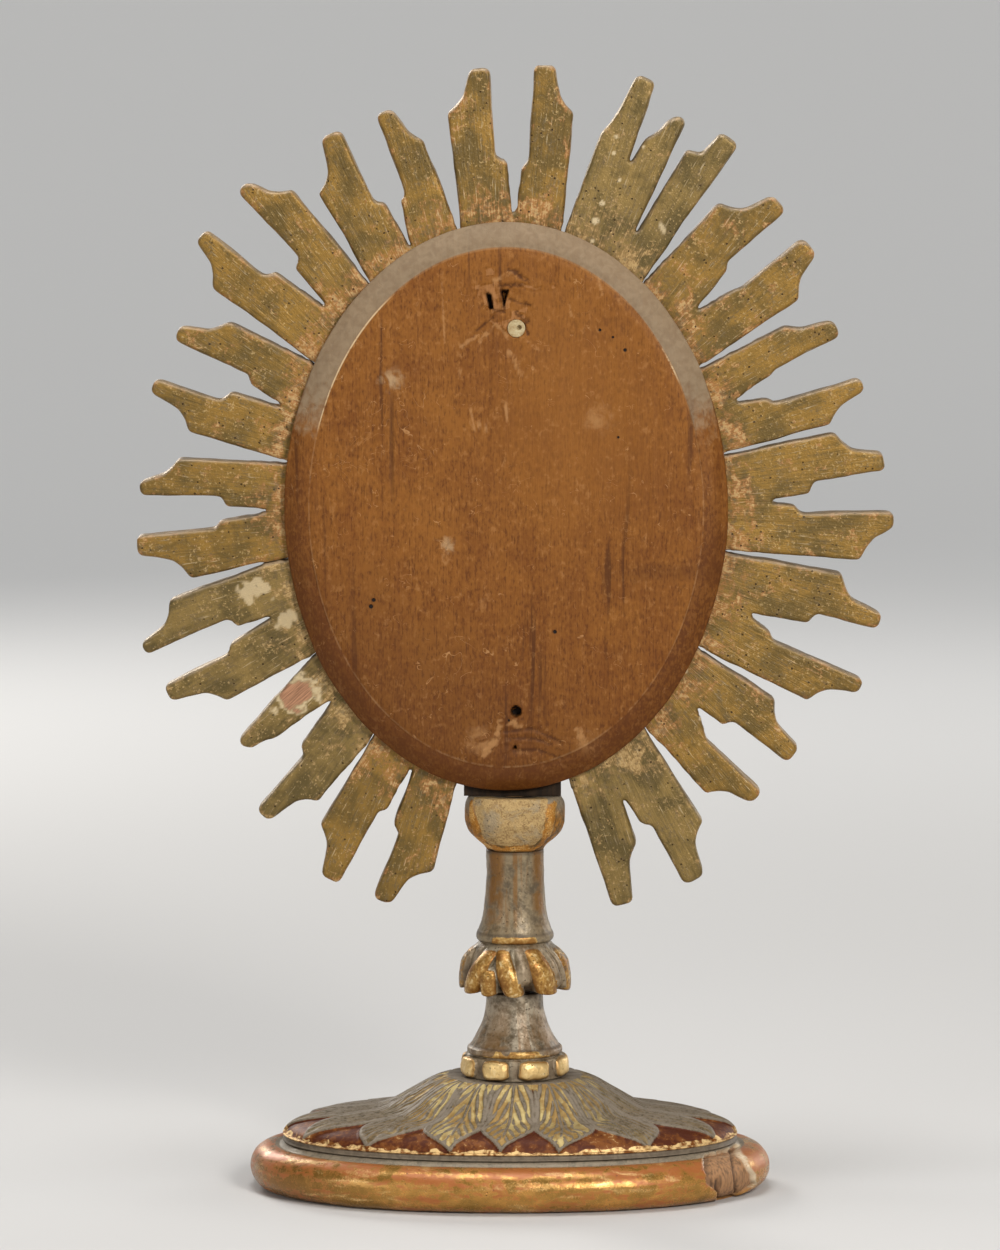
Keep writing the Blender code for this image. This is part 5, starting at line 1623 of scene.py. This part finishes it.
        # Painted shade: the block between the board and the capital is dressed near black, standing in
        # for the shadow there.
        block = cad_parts["root_block"]
        PlainWood("root_block_painted_shade", pale=(0.030, 0.016, 0.007),
                  dark=(0.010, 0.005, 0.002)).dress(block)


# ------------------------------------------------------------------ board and relic mount

@dataclass
class Back:
    """Bevelled board with its pegs, and the relic mount on its inner face."""

    steps: int = 620
    lift: float = 1.6
    bevel: float = 11.3
    edge: float = 4.0
    peg: tuple[float, float, float] = (0.5, 389.5, 4.0)
    broken_peg: tuple[float, float, float] = (0.5, 217.98, 2.6)
    nail: tuple[float, float] = (0.0, 201.7)
    slots: tuple[tuple[float, float, float, float, float], ...] = (
        (-11.2, 401.6, 1.05, 0.0, -0.20), (-4.8, 402.9, 0.85, 0.20, 0.06))
    scores: tuple[tuple[float, float, float, float, float], ...] = (
        (-6.8, 408.6, 3.2, 409.0, 0.55), (-3.0, 415.6, 1.2, 415.0, 0.5),
        (0.2, 414.6, 4.6, 411.0, 0.6), (-2.6, 402.6, 6.8, 399.8, 0.45),
        (-9.5, 397.9, -4.6, 396.6, 0.45), (0.4, 396.2, 5.4, 392.6, 0.7),
        (-17.0, 388.6, -10.0, 394.4, 0.35), (4.0, 391.6, 5.6, 387.0, 0.5),
        (-5.6, 407.0, -4.8, 399.4, 0.7), (-4.5, 208.8, 8.0, 210.4, 0.35),
        (8.0, 210.4, 20.0, 204.6, 0.35), (-2.0, 206.0, 9.0, 205.9, 0.35),
        (9.0, 205.9, 16.0, 203.2, 0.3), (-1.0, 200.4, 10.0, 201.0, 0.3),
        (10.0, 201.0, 21.0, 196.6, 0.35))
    lights: tuple[tuple[float, float, float, float, float], ...] = (
        (-2.5, 379.6, 2.6, 370.6, 0.7), (2.2, 371.0, 5.0, 368.6, 0.6),
        (5.4, 384.0, 11.4, 379.4, 0.5), (-24.0, 381.4, -16.0, 387.0, 0.5),
        (-15.5, 384.0, -9.0, 391.6, 0.6), (-8.0, 391.0, -3.0, 385.0, 0.5),
        (-20.0, 354.0, -17.8, 343.6, 0.3), (-17.0, 347.0, -13.0, 345.4, 0.5),
        (-13.0, 345.4, -10.0, 348.0, 0.3), (-4.4, 356.4, -3.6, 349.6, 0.45),
        (-9.0, 410.6, -2.0, 414.6, 0.6), (37.0, 413.4, 38.6, 404.4, 0.45),
        (-32.6, 410.0, -31.4, 383.0, 0.12), (-6.8, 213.0, -8.8, 203.4, 0.9),
        (-8.6, 205.0, -14.0, 198.8, 1.0), (28.0, 209.6, 31.6, 203.8, 1.3),
        (-1.4, 212.6, 3.4, 211.4, 1.2), (24.0, 400.0, 25.0, 395.0, 0.3))

    def bearings(self) -> Array:
        """Steps round the oval, twice as close at the top and bottom: t - 0.17 sin(2t)."""
        t = turn(self.steps)
        return t - 0.17 * np.sin(2 * t)

    def board(self) -> None:
        """Make the board: worked back, irregular bevel, thin edge, flat front.

        Formula: ovals shrunk to the middle, their depth moved by tool marks, pits and torn wood.
        """
        a, b, y0, y1 = oval_of("back_board")
        inner_a, inner_b = a - self.bevel, b - self.bevel
        share = np.concatenate([np.linspace(0.03, 0.60, 26)[:-1], np.linspace(0.60, 0.99, 62)])
        field = np.stack([inner_a * share, inner_b * share, np.full(len(share), y0)], 1)
        slant = np.linspace(0.0, 1.0, 18)[:, None]
        start, end = np.array([inner_a, inner_b, y0]), np.array([a - 0.3, b - 0.3, y1 - self.edge])
        slope = start + (end - start) * slant
        slope[:, 2] += -0.9 * np.sin(math.pi * slant[:, 0]) ** 1.3 + 0.55 * bell(slant[:, 0], 0.16)
        field[:, 2] += 0.55 * bell((1 - share) * inner_a, 1.6)
        rim = np.array([(a, b, y1 - self.edge + 0.9), (a, b, y1 - 1.6), (a - 0.2, b - 0.2, y1 - 0.4),
                        (a - 0.8, b - 0.8, y1)])
        front = np.stack([a * share[::-2] * 0.98, b * share[::-2] * 0.98,
                          np.full(len(share[::-2]), y1)], 1)
        rows = np.vstack([field, slope, rim, front])
        points = upright(rows, self.bearings(), self.lift)
        m = len(field)
        x, z = points[..., 0], points[..., 2]
        flat = np.stack([x, np.zeros_like(x), z], -1)
        around = self.bearings()[None, :]
        facet = np.stack([np.cos(around), np.sin(around), np.zeros_like(around)], -1) * 14.0
        worked = value_noise(np.broadcast_to(facet, points.shape), 1.9, 81, 2)
        back = np.zeros(len(rows))
        back[:m + len(slope)] = 1.0
        bevelled = np.zeros(len(rows))
        bevelled[m + 1:m + len(slope) + 2] = 1.0
        bevelled = bevelled[:, None]
        grain = value_noise(flat * np.array([1, 1, 0.05]), 2.2, 82, 2) * 0.10
        waves = value_noise(flat * np.array([1, 1, 0.4]), 30.0, 83, 2) * 0.30
        depth = back[:, None] * (grain + waves + 0.3) + bevelled * worked * 0.35
        torn, pit = self.torn(flat), self.pits(flat)
        score, light = self.strokes(flat, self.scores), self.strokes(flat, self.lights)
        arcs = self.growth(flat) + 0.45 * score
        splinters = value_noise(flat @ TILT, 2.6, 84, 2)
        depth = depth + back[:, None] * (torn * (0.35 + 0.75 * splinters) + arcs)
        room = np.maximum(y1 - points[..., 1] - 5.2, 0.0)
        sunk = back[:, None] * pit * np.minimum(room, 4.9)
        points[..., 1] = points[..., 1] + depth + sunk
        faceside = np.zeros(len(rows))
        faceside[m + len(slope) + 4:] = 1.0
        points[..., 1] -= faceside[:, None] * self.pits(flat, True) * 4.6
        inward = 1 - 0.004 * bevelled * (1 + worked)
        points[..., 0] = HEAD_X + (points[..., 0] - HEAD_X) * inward
        obj = skin("back_board_worked", points)
        line = np.zeros(len(rows))
        line[m] = 1.0
        store(obj, torn=torn * back[:, None], score=score * back[:, None],
              light=light * back[:, None], bevel=bevelled * np.ones_like(x),
              line=line[:, None] * np.ones_like(x), pit=pit * back[:, None])
        BoardWood().dress(obj)
        put(obj, Body.BACK, "back_board")

    def pits(self, flat: Array, front: bool = False) -> Array:
        """Holes of the board, with ragged edges.

        Args:
            flat: Points of the board, with their depth left out.
            front: Leave out the nail hole, which stops short of the front.

        Returns:
            1 in each hole, 0 outside it.
        """
        x, z = flat[..., 0], flat[..., 2]
        ragged = value_noise(flat, 1.6, 85, 2) * 0.25
        deep = np.zeros(x.shape)
        for cx, cz, half, wedge, slant in self.slots:
            aside = np.abs(x - cx - slant * (z - cz)) - wedge * (z - cz)
            inside = np.minimum(half - aside, 3.4 - np.abs(z - cz)) + ragged * 0.6
            deep = np.maximum(deep, rise(-0.25, 0.25, inside))
        holes = [self.peg, self.broken_peg] if front else [self.peg, self.broken_peg, (*self.nail, 1.0)]
        for cx, cz, radius in holes:
            inside = radius - 0.30 - np.hypot(x - cx, z - cz) + ragged * 0.3
            deep = np.maximum(deep, rise(-0.2, 0.2, inside))
        return deep

    def torn(self, flat: Array) -> Array:
        """Torn wood round the slots: a ragged patch that runs up and to the right of them.

        Args:
            flat: Points of the board, with their depth left out.

        Returns:
            The share of torn wood at each point.
        """
        x, z = flat[..., 0], flat[..., 2]
        ragged = value_noise(flat, 6.0, 86, 3)
        patch = np.hypot((x + 3.0) / 16.0, (z - 402.0) / 15.0) + ragged * 0.6
        streaks = rise(-0.1, 0.35, value_noise(flat * np.array([0.5, 1.0, 1.0]), 3.0, 87, 2))
        below = np.hypot((x - 6.0) / 9.0, (z - 381.0) / 7.0) + ragged * 0.7
        low = np.hypot((x + 1.0) / 9.0, (z - 216.0) / 6.0) + ragged * 0.6
        return np.clip(rise(1.0, 0.6, patch) * streaks + 0.5 * rise(1.0, 0.6, below) * streaks
                       + 0.6 * rise(1.0, 0.7, low) * streaks, 0, 1)

    def strokes(self, flat: Array, lines: Sequence[tuple[float, float, float, float, float]]) -> Array:
        """Marks along straight lines.

        Formula: 1 where the distance to a line, moved by noise, is under its half width.

        Args:
            flat: Points of the board, with their depth left out.
            lines: Each line's two ends (x, z) and its half width.

        Returns:
            The share of the marks at each point.
        """
        x, z = flat[..., 0], flat[..., 2]
        ragged = value_noise(flat, 2.0, 89, 3) * 0.9
        total = np.zeros(x.shape)
        for x0, z0, x1, z1, half in lines:
            dx, dz = x1 - x0, z1 - z0
            t = np.clip(((x - x0) * dx + (z - z0) * dz) / (dx * dx + dz * dz), 0, 1)
            away = np.hypot(x - x0 - t * dx, z - z0 - t * dz) + ragged * half
            total = np.maximum(total, rise(half + 0.5, half - 0.15, away))
        return total

    def growth(self, flat: Array) -> Array:
        """Steps of growth rings near the nail hole: a saw of the distance from a low centre.

        Args:
            flat: Points of the board, with their depth left out.

        Returns:
            The height of the steps.
        """
        x, z = flat[..., 0], flat[..., 2]
        away = np.hypot((x - 4.0) * 0.62, z - 186.0) + value_noise(flat, 9.0, 88) * 0.8
        fade = (rise(30.0, 24.0, away) * rise(8.0, 12.0, away)
                * rise(-24.0, -12.0, x) * rise(36.0, 26.0, x))
        return 0.34 * (away / 3.6 % 1.0) * fade * rise(182.0, 190.0, z)

    def pegs(self) -> None:
        """Make the flush upper peg, pricked in its end, and the broken lower one."""
        around = turn(64)
        for node, seed, hole in (("upper_peg", 91, self.peg), ("lower_peg", 95, self.broken_peg)):
            low, high = box_mm(node)
            cx, cz, radius = hole
            sunk = node == "lower_peg"
            y0, y1 = low[1] + (3.2 if sunk else 0.15), high[1]
            inner = np.linspace(0.05, 1.0, 16) * (radius - 0.25)
            end = [(r, y0) for r in inner]
            end = end + [(radius, y0 + 0.4), (radius, y1 - 1.0), (radius - 0.8, y1)]
            rows = np.array(end)
            points = np.stack([cx + rows[:, :1] * np.sin(around),
                               np.broadcast_to(rows[:, 1:], (len(rows), 64)),
                               cz + rows[:, :1] * np.cos(around)], -1)
            x, z = points[..., 0], points[..., 2]
            face = np.zeros(x.shape)
            face[:17] = 1.0
            prick = rise(1.15, 0.75, np.hypot(x - cx - 1.3, z - cz - 0.4)) * (not sunk)
            rough = value_noise(points, 1.4, seed, 2) * (0.6 if sunk else 0.12)
            tilt = (z - cz) * 0.35 if sunk else 0.0
            points[..., 1] += face * (prick * 2.2 + rough + tilt + 0.1)
            points[..., 1] = np.clip(points[..., 1], low[1], high[1])
            obj = skin(f"{node}_whittled", points)
            # Painted shade: the sunk lower peg is dressed near black, for the shade at the bottom of its
            # hole.
            shade = 0.07 if sunk else 1.0
            PlainWood(f"{node}_wood", pale=(0.50 * shade, 0.42 * shade, 0.25 * shade),
                      dark=(0.36 * shade, 0.25 * shade, 0.12 * shade), grain=(1.0, 0.1, 1.0),
                      size=0.8).dress(obj)
            put(obj, Body.BACK, node)

    def panel(self) -> None:
        """Make the silk-covered panel: a flat back, soft edges and a faint swell in front."""
        a, b, y0, y1 = oval_of("relic_panel")
        share = np.linspace(0.98, 0.05, 40)
        rows = [(0.3 * a, 0.3 * b, y0), (a - 0.8, b - 0.8, y0), (a, b, y0 + 0.7), (a, b, y1 - 0.9),
                (a - 0.4, b - 0.4, y1 - 0.3), *[(a * s, b * s, y1 - 0.12) for s in share]]
        points = upright(np.array(rows), turn(self.steps))
        points[5:, :, 1] -= 0.10 * (1 + value_noise(points[5:], 16.0, 101, 2)) * 0.5
        obj = skin("relic_panel_covered", points)
        Cloth("crimson_silk", (0.42, 0.022, 0.022), (0.17, 0.006, 0.007), 0.7, 0.15).dress(obj)
        put(obj, Body.BACK, "relic_panel")

    def case(self) -> None:
        """Make the brass case with a twisted border.

        Formula: the border's radius moves by 0.35 cos(60 angle + 9 depth).
        """
        a, b, y0, y1 = oval_of("relic_case")
        wall = spline([(-1.0, y0), (-0.3, y0 + 0.5), (-0.6, y0 + 2.0), (-1.0, y0 + 4.5), (-0.6, y1 - 2.4),
                       (-0.3, y1 - 2.0), (-0.1, y1 - 1.2), (-0.5, y1 - 0.35), (-1.0, y1 - 0.2)], 60)
        inside = [(-1.25, y1 - 0.2), (-1.3, y1 - 1.5), (-2.6, y1 - 1.5), (-2.6, y0 + 1.6)]
        rows = np.array([(a + o, b + o, y) for o, y in [*wall, *inside]])
        t = turn(480)
        points = upright(rows, t)
        on_wall = np.arange(len(rows)) < len(wall)
        rope = (rise(y1 - 2.6, y1 - 1.9, rows[:, 2]) * on_wall)[:, None]
        twist = rope * (0.5 * np.cos(60 * t + 2.2 * rows[:, 2:3]) - 0.5)
        out = np.stack([np.sin(t) * np.ones_like(twist), np.zeros_like(twist),
                        np.cos(t) * np.ones_like(twist)], -1)
        points += out * (0.45 * twist)[..., None]
        obj = skin("relic_case_worked", points)
        store(obj, hollow=-twist)
        Brass().dress(obj)
        put(obj, Body.BACK, "relic_case")

    def packet(self) -> None:
        """Make the linen packet: a crowned pad with folds, bound crosswise by a red tape."""
        a, b, y0, y1 = oval_of("relic_packet")
        body = spline([(0.25, 0.0), (0.80, 0.02), (0.96, 0.22), (1.0, 0.45), (0.93, 0.72), (0.72, 0.90),
                       (0.40, 0.965), (0.05, 0.97)], 70)
        rows = np.stack([a * body[:, 0], b * body[:, 0], y0 + (y1 - y0) * body[:, 1]], 1)
        points = upright(rows, turn(260))
        x, z = points[..., 0] - HEAD_X, points[..., 2] - HEAD_Z
        band = np.maximum(bell(x, 0.9), bell(z, 0.9))
        folds = value_noise(points * np.array([1.0, 1.0, 0.4]), 3.4, 111, 2) * 0.12
        squeeze = 0.30 * np.maximum(bell(x, 2.2), bell(z, 2.2)) - 0.18 * rise(0.35, 0.5, band)
        points[..., 1] += np.where(points[..., 1] > (y0 + y1) / 2, folds - squeeze, 0.0)
        points[..., 1] = np.clip(points[..., 1], y0, y1)
        obj = skin("relic_packet_bound", points)
        store(obj, band=rise(0.40, 0.50, band))
        Cloth("packet_linen", (0.70, 0.60, 0.44), (0.42, 0.33, 0.21), 0.45, 0.2,
              (0.38, 0.03, 0.03)).dress(obj)
        put(obj, Body.BACK, "relic_packet")

    def make(self) -> None:
        """Make every piece that draws off with the board."""
        self.board()
        self.pegs()
        self.panel()
        self.case()
        self.packet()
        pane("relic_case_glass", Body.BACK, 0.02)


def pane(node: str, body: Body, wave: float) -> None:
    """Make an oval pane with ground edges.

    Args:
        node: The frame node that it replaces.
        body: The body that it rides on.
        wave: How far its faces wander, in millimetres.
    """
    a, b, y0, y1 = oval_of(node)
    share = np.linspace(0.05, 0.985, 24)
    back = np.stack([a * share, b * share, np.full(24, y0)], 1)
    edge = np.array([(a, b, y0 + 0.2), (a, b, y1 - 0.2)])
    front = back[::-1] * np.array([1, 1, 0]) + np.array([0, 0, y1])
    points = upright(np.vstack([back, edge, front]), turn(160))
    points[..., 1] += value_noise(points, 24.0, 121, 2) * wave
    points[..., 1] = np.clip(points[..., 1], y0, y1)
    obj = skin(f"{node}_pane", points)
    OldGlass(f"{node}_clear").dress(obj)
    put(obj, body, node)


# ------------------------------------------------------------------ front

@dataclass
class Front:
    """Moulded window frame, its glass and the fillet behind it."""

    steps: int = 600
    wall: tuple[float, float] = (53.0, 74.0)
    sight_lip: float = 4.5
    seat: float = 16.0
    beads: int = 72
    gadroons: int = 56
    sockets: tuple[tuple[float, float, float], ...] = ((0.5, 389.5, 4.3), (0.5, 217.98, 2.9))

    def frame(self) -> None:
        """Make the frame: a moulding carried round the oval, with beads and gadroons.

        Formula: the moulding's depth moves by |cos(n t)| on the bead and on the outer torus.
        """
        a, b, y0, y1 = oval_of("window_frame")
        seat = self.seat
        depth = y1 - seat
        moulding = spline([(-0.082, 0.0), (-0.10, 0.10), (-0.10, 0.42), (-0.085, 0.60), (-0.04, 0.70),
                           (-0.01, 0.62), (0.02, 0.74), (0.065, 0.84), (0.11, 0.72), (0.14, 0.56),
                           (0.20, 0.44), (0.32, 0.34), (0.44, 0.33), (0.53, 0.40), (0.565, 0.52),
                           (0.60, 0.60), (0.66, 0.82), (0.74, 0.96), (0.80, 0.99), (0.87, 0.90),
                           (0.93, 0.70), (0.965, 0.48), (0.985, 0.25), (0.99, -0.2)], 118)
        share, lift = moulding[:, 0], moulding[:, 1]
        inner = np.where(share < 0, share * self.sight_lip / 0.10, 0.0)
        half_a = self.wall[0] + inner + np.where(share > 0, share * (a - self.wall[0]), 0)
        half_b = self.wall[1] + inner + np.where(share > 0, share * (b - self.wall[1]), 0)
        bead = bell(share - 0.065, 0.035)[:, None]
        torus = bell(share - 0.78, 0.11)[:, None]
        t = turn(self.steps)
        beading = np.abs(np.sin(t * self.beads / 2)) ** 0.7 - 1.0
        slanted = np.abs(np.sin(t * self.gadroons / 2 + share[:, None] * 9.0)) ** 0.8 - 1.0
        rows = np.stack([half_a, half_b, seat + lift * depth], 1)
        face = upright(rows, t)
        face[..., 1] += 1.9 * bead * beading + 2.2 * torus * slanted
        tongue = (a + 1.5 - 11.2 - 0.3, b + 1.5 - 11.2 - 0.3)
        ray_front = 6.8
        ring = np.linspace(1.0, 0.0, 36)
        back = [(self.wall[0] + s * (tongue[0] - self.wall[0]),
                 self.wall[1] + s * (tongue[1] - self.wall[1]),
                 y0) for s in ring]
        rest = [(a, b, seat - 2.0), (a, b, ray_front + 0.6), (a - 0.6, b - 0.6, ray_front),
                (*tongue, ray_front), (*tongue, y0 + 0.2), *back, (*self.wall, seat)]
        points = np.concatenate([face, upright(np.array(rest), t)])
        x, z = points[..., 0], points[..., 2]
        for cx, cz, radius in self.sockets:
            pit = rise(-0.3, 0.3, radius - np.hypot(x - cx, z - cz))
            points[len(face) + 5:-1, :, 1] += 11.0 * pit[len(face) + 5:-1]
        rough = value_noise(points[:len(face)], 12.0, 131, 2) * 0.16
        points[:len(face), :, 1] = np.clip(points[:len(face), :, 1] + rough - 0.2, seat, y1)
        hollow = np.zeros(x.shape)
        hollow[:len(face)] = (rise(0.15, 0.19, share) * rise(0.56, 0.52, share))[:, None]
        # Painted shade: grey laid deepest between the beads and the gadroons; the cavetto's grey above is
        # paint.
        hollow[:len(face)] += (0.8 * rise(-0.55, -0.95, bead * beading)
                               + 0.6 * rise(-0.6, -1.0, torus * slanted))
        bare = np.zeros(x.shape)
        bare[len(face) + 2:] = 1.0
        obj = skin("window_frame_moulded", points, closed=True)
        store(obj, hollow=np.clip(hollow, 0, 1), bare=bare)
        RimGilding(wear=0.55, gold=(0.62, 0.38, 0.12), olive=(0.42, 0.235, 0.060),
                   flow=(0.5, 0.5, 0.5)).dress(obj)
        put(obj, Body.HEAD, "window_frame")

    def fillet(self) -> None:
        """Make the fillet that holds the glass: a bevelled strip carried round the oval."""
        a, b, y0, y1 = oval_of("glass_fillet")
        line = spline([(-4.0, y1), (-3.4, y1 - 1.2), (-2.5, y0 + 0.3), (-2.2, y0), (-0.2, y0)], 24)
        rows = np.array([(a + o, b + o, y) for o, y in [*line, (0.0, y0 + 0.2), (0.0, y1)]])
        points = upright(rows, turn(240))
        points[..., 1] += value_noise(points, 7.0, 141, 2) * 0.1
        points[..., 1] = np.clip(points[..., 1], y0, y1)
        obj = skin("glass_fillet_whittled", points, closed=True)
        PlainWood("fillet_wood", grain=(0.2, 1.0, 0.2)).dress(obj)
        put(obj, Body.HEAD, "glass_fillet")

    def make(self) -> None:
        """Make the frame, the fillet and the window glass."""
        self.frame()
        self.fillet()
        pane("window_glass", Body.HEAD, 0.06)


# ------------------------------------------------------------------ studio

@dataclass
class Studio:
    """Pale floor that curves up far away, soft lights and the camera."""

    floor: Colour = (0.58, 0.57, 0.555)
    glow: Colour = (0.30, 0.30, 0.296)
    lens: float = 164.16
    pitch: float = 5.35
    stand: tuple[float, float, float] = (-0.00675, -2.554, 0.4946)

    def ground(self) -> None:
        """Make the floor.

        Formula: height = 2.2 s^2 past a radius of 3.6 m, with s from 0 to 1 over 2.4 m.
        """
        radius = np.concatenate([np.linspace(50, 3600, 30), np.linspace(3700, 6000, 30)])
        height = 2200.0 * np.clip((radius - 3600.0) / 2400.0, 0, 1) ** 2
        rings = revolve(np.stack([radius, height], 1), turn(128))
        under = rings[::-1].copy()
        under[..., 2] -= 20.0
        obj = skin("floor", np.concatenate([rings, under]))
        g = Graph("floor_paper")
        x, y, _ = g.split(g.place())
        away = ((x * x + y * y) ** 0.5).band(600.0, 2600.0)
        g.feed(g.shader.inputs["Emission Color"], g.mix(away, (0.0, 0.0, 0.0), self.glow))
        cloud = g.noise(g.place(), 900.0, 2.0)
        g.colour = g.mix(cloud, self.floor, darker(self.floor, 0.97))
        g.finish(obj, 0.85, fixed={"Emission Strength": 1.0})

    def light(self, name: str, place: tuple[float, float, float], aim: tuple[float, float, float],
              size: float, power: float, colour: Colour = (1.0, 1.0, 1.0)) -> None:
        """Add a square soft light that faces a point.

        Args:
            name: The lamp's name.
            place: Where it hangs, in metres.
            aim: The point it faces.
            size: Its side.
            power: Its power in watts.
            colour: Its colour.
        """
        data = bpy.data.lights.new(name, "AREA")
        data.size, data.energy, data.color = size, power, colour
        lamp = bpy.data.objects.new(name, data)
        bpy.context.scene.collection.objects.link(lamp)
        way = np.array(aim) - np.array(place)
        lamp.location = place
        lamp.rotation_euler = (math.acos(-way[2] / np.linalg.norm(way)), 0.0,
                               math.atan2(way[1], way[0]) - math.pi / 2)

    def lights(self) -> None:
        """Hang the lights and set the surrounding glow."""
        middle = (0.0, 0.0, 0.28)
        self.light("key", (1.0, -2.0, 1.30), middle, 0.62, 41.0, (1.0, 0.975, 0.94))
        self.light("fill", (-1.7, -1.7, 0.9), middle, 1.0, 10.0)
        self.light("top", (-0.1, -0.15, 1.9), (0.0, 0.0, 0.3), 0.8, 20.0)
        self.light("front_key", (-1.2, 2.1, 1.4), middle, 0.8, 30.0, (1.0, 0.975, 0.94))
        self.light("front_fill", (1.7, 1.5, 0.8), middle, 1.2, 12.0)
        world = bpy.data.worlds.new("studio")
        bpy.context.scene.world = world
        world.use_nodes = True
        glow = world.node_tree.nodes["Background"]
        glow.inputs["Color"].default_value = (0.92, 0.95, 1.0, 1.0)
        glow.inputs["Strength"].default_value = 0.13

    def camera(self) -> None:
        """Place the camera."""
        data = bpy.data.cameras.new("camera")
        data.lens, data.sensor_width = self.lens, 36.0
        data.clip_start, data.clip_end = 0.05, 60.0
        camera = bpy.data.objects.new("camera", data)
        bpy.context.scene.collection.objects.link(camera)
        camera.location = self.stand
        camera.rotation_euler = (math.radians(90 - self.pitch), 0.0, 0.0)
        bpy.context.scene.camera = camera
        bpy.context.scene.view_settings.view_transform = "Standard"

    def make(self) -> None:
        """Set up the floor, the lights and the camera."""
        self.ground()
        self.lights()
        self.camera()


def main() -> None:
    """Build the monstrance's looks and the studio."""
    logging.basicConfig(level=logging.INFO, format="%(message)s")
    for part in (Foot(), Stem(), Rays(), Front(), Back(), Studio()):
        part.make()
        log.info("%s made", type(part).__name__)
    bpy.context.view_layer.update()


if __name__ == "__main__":
    main()
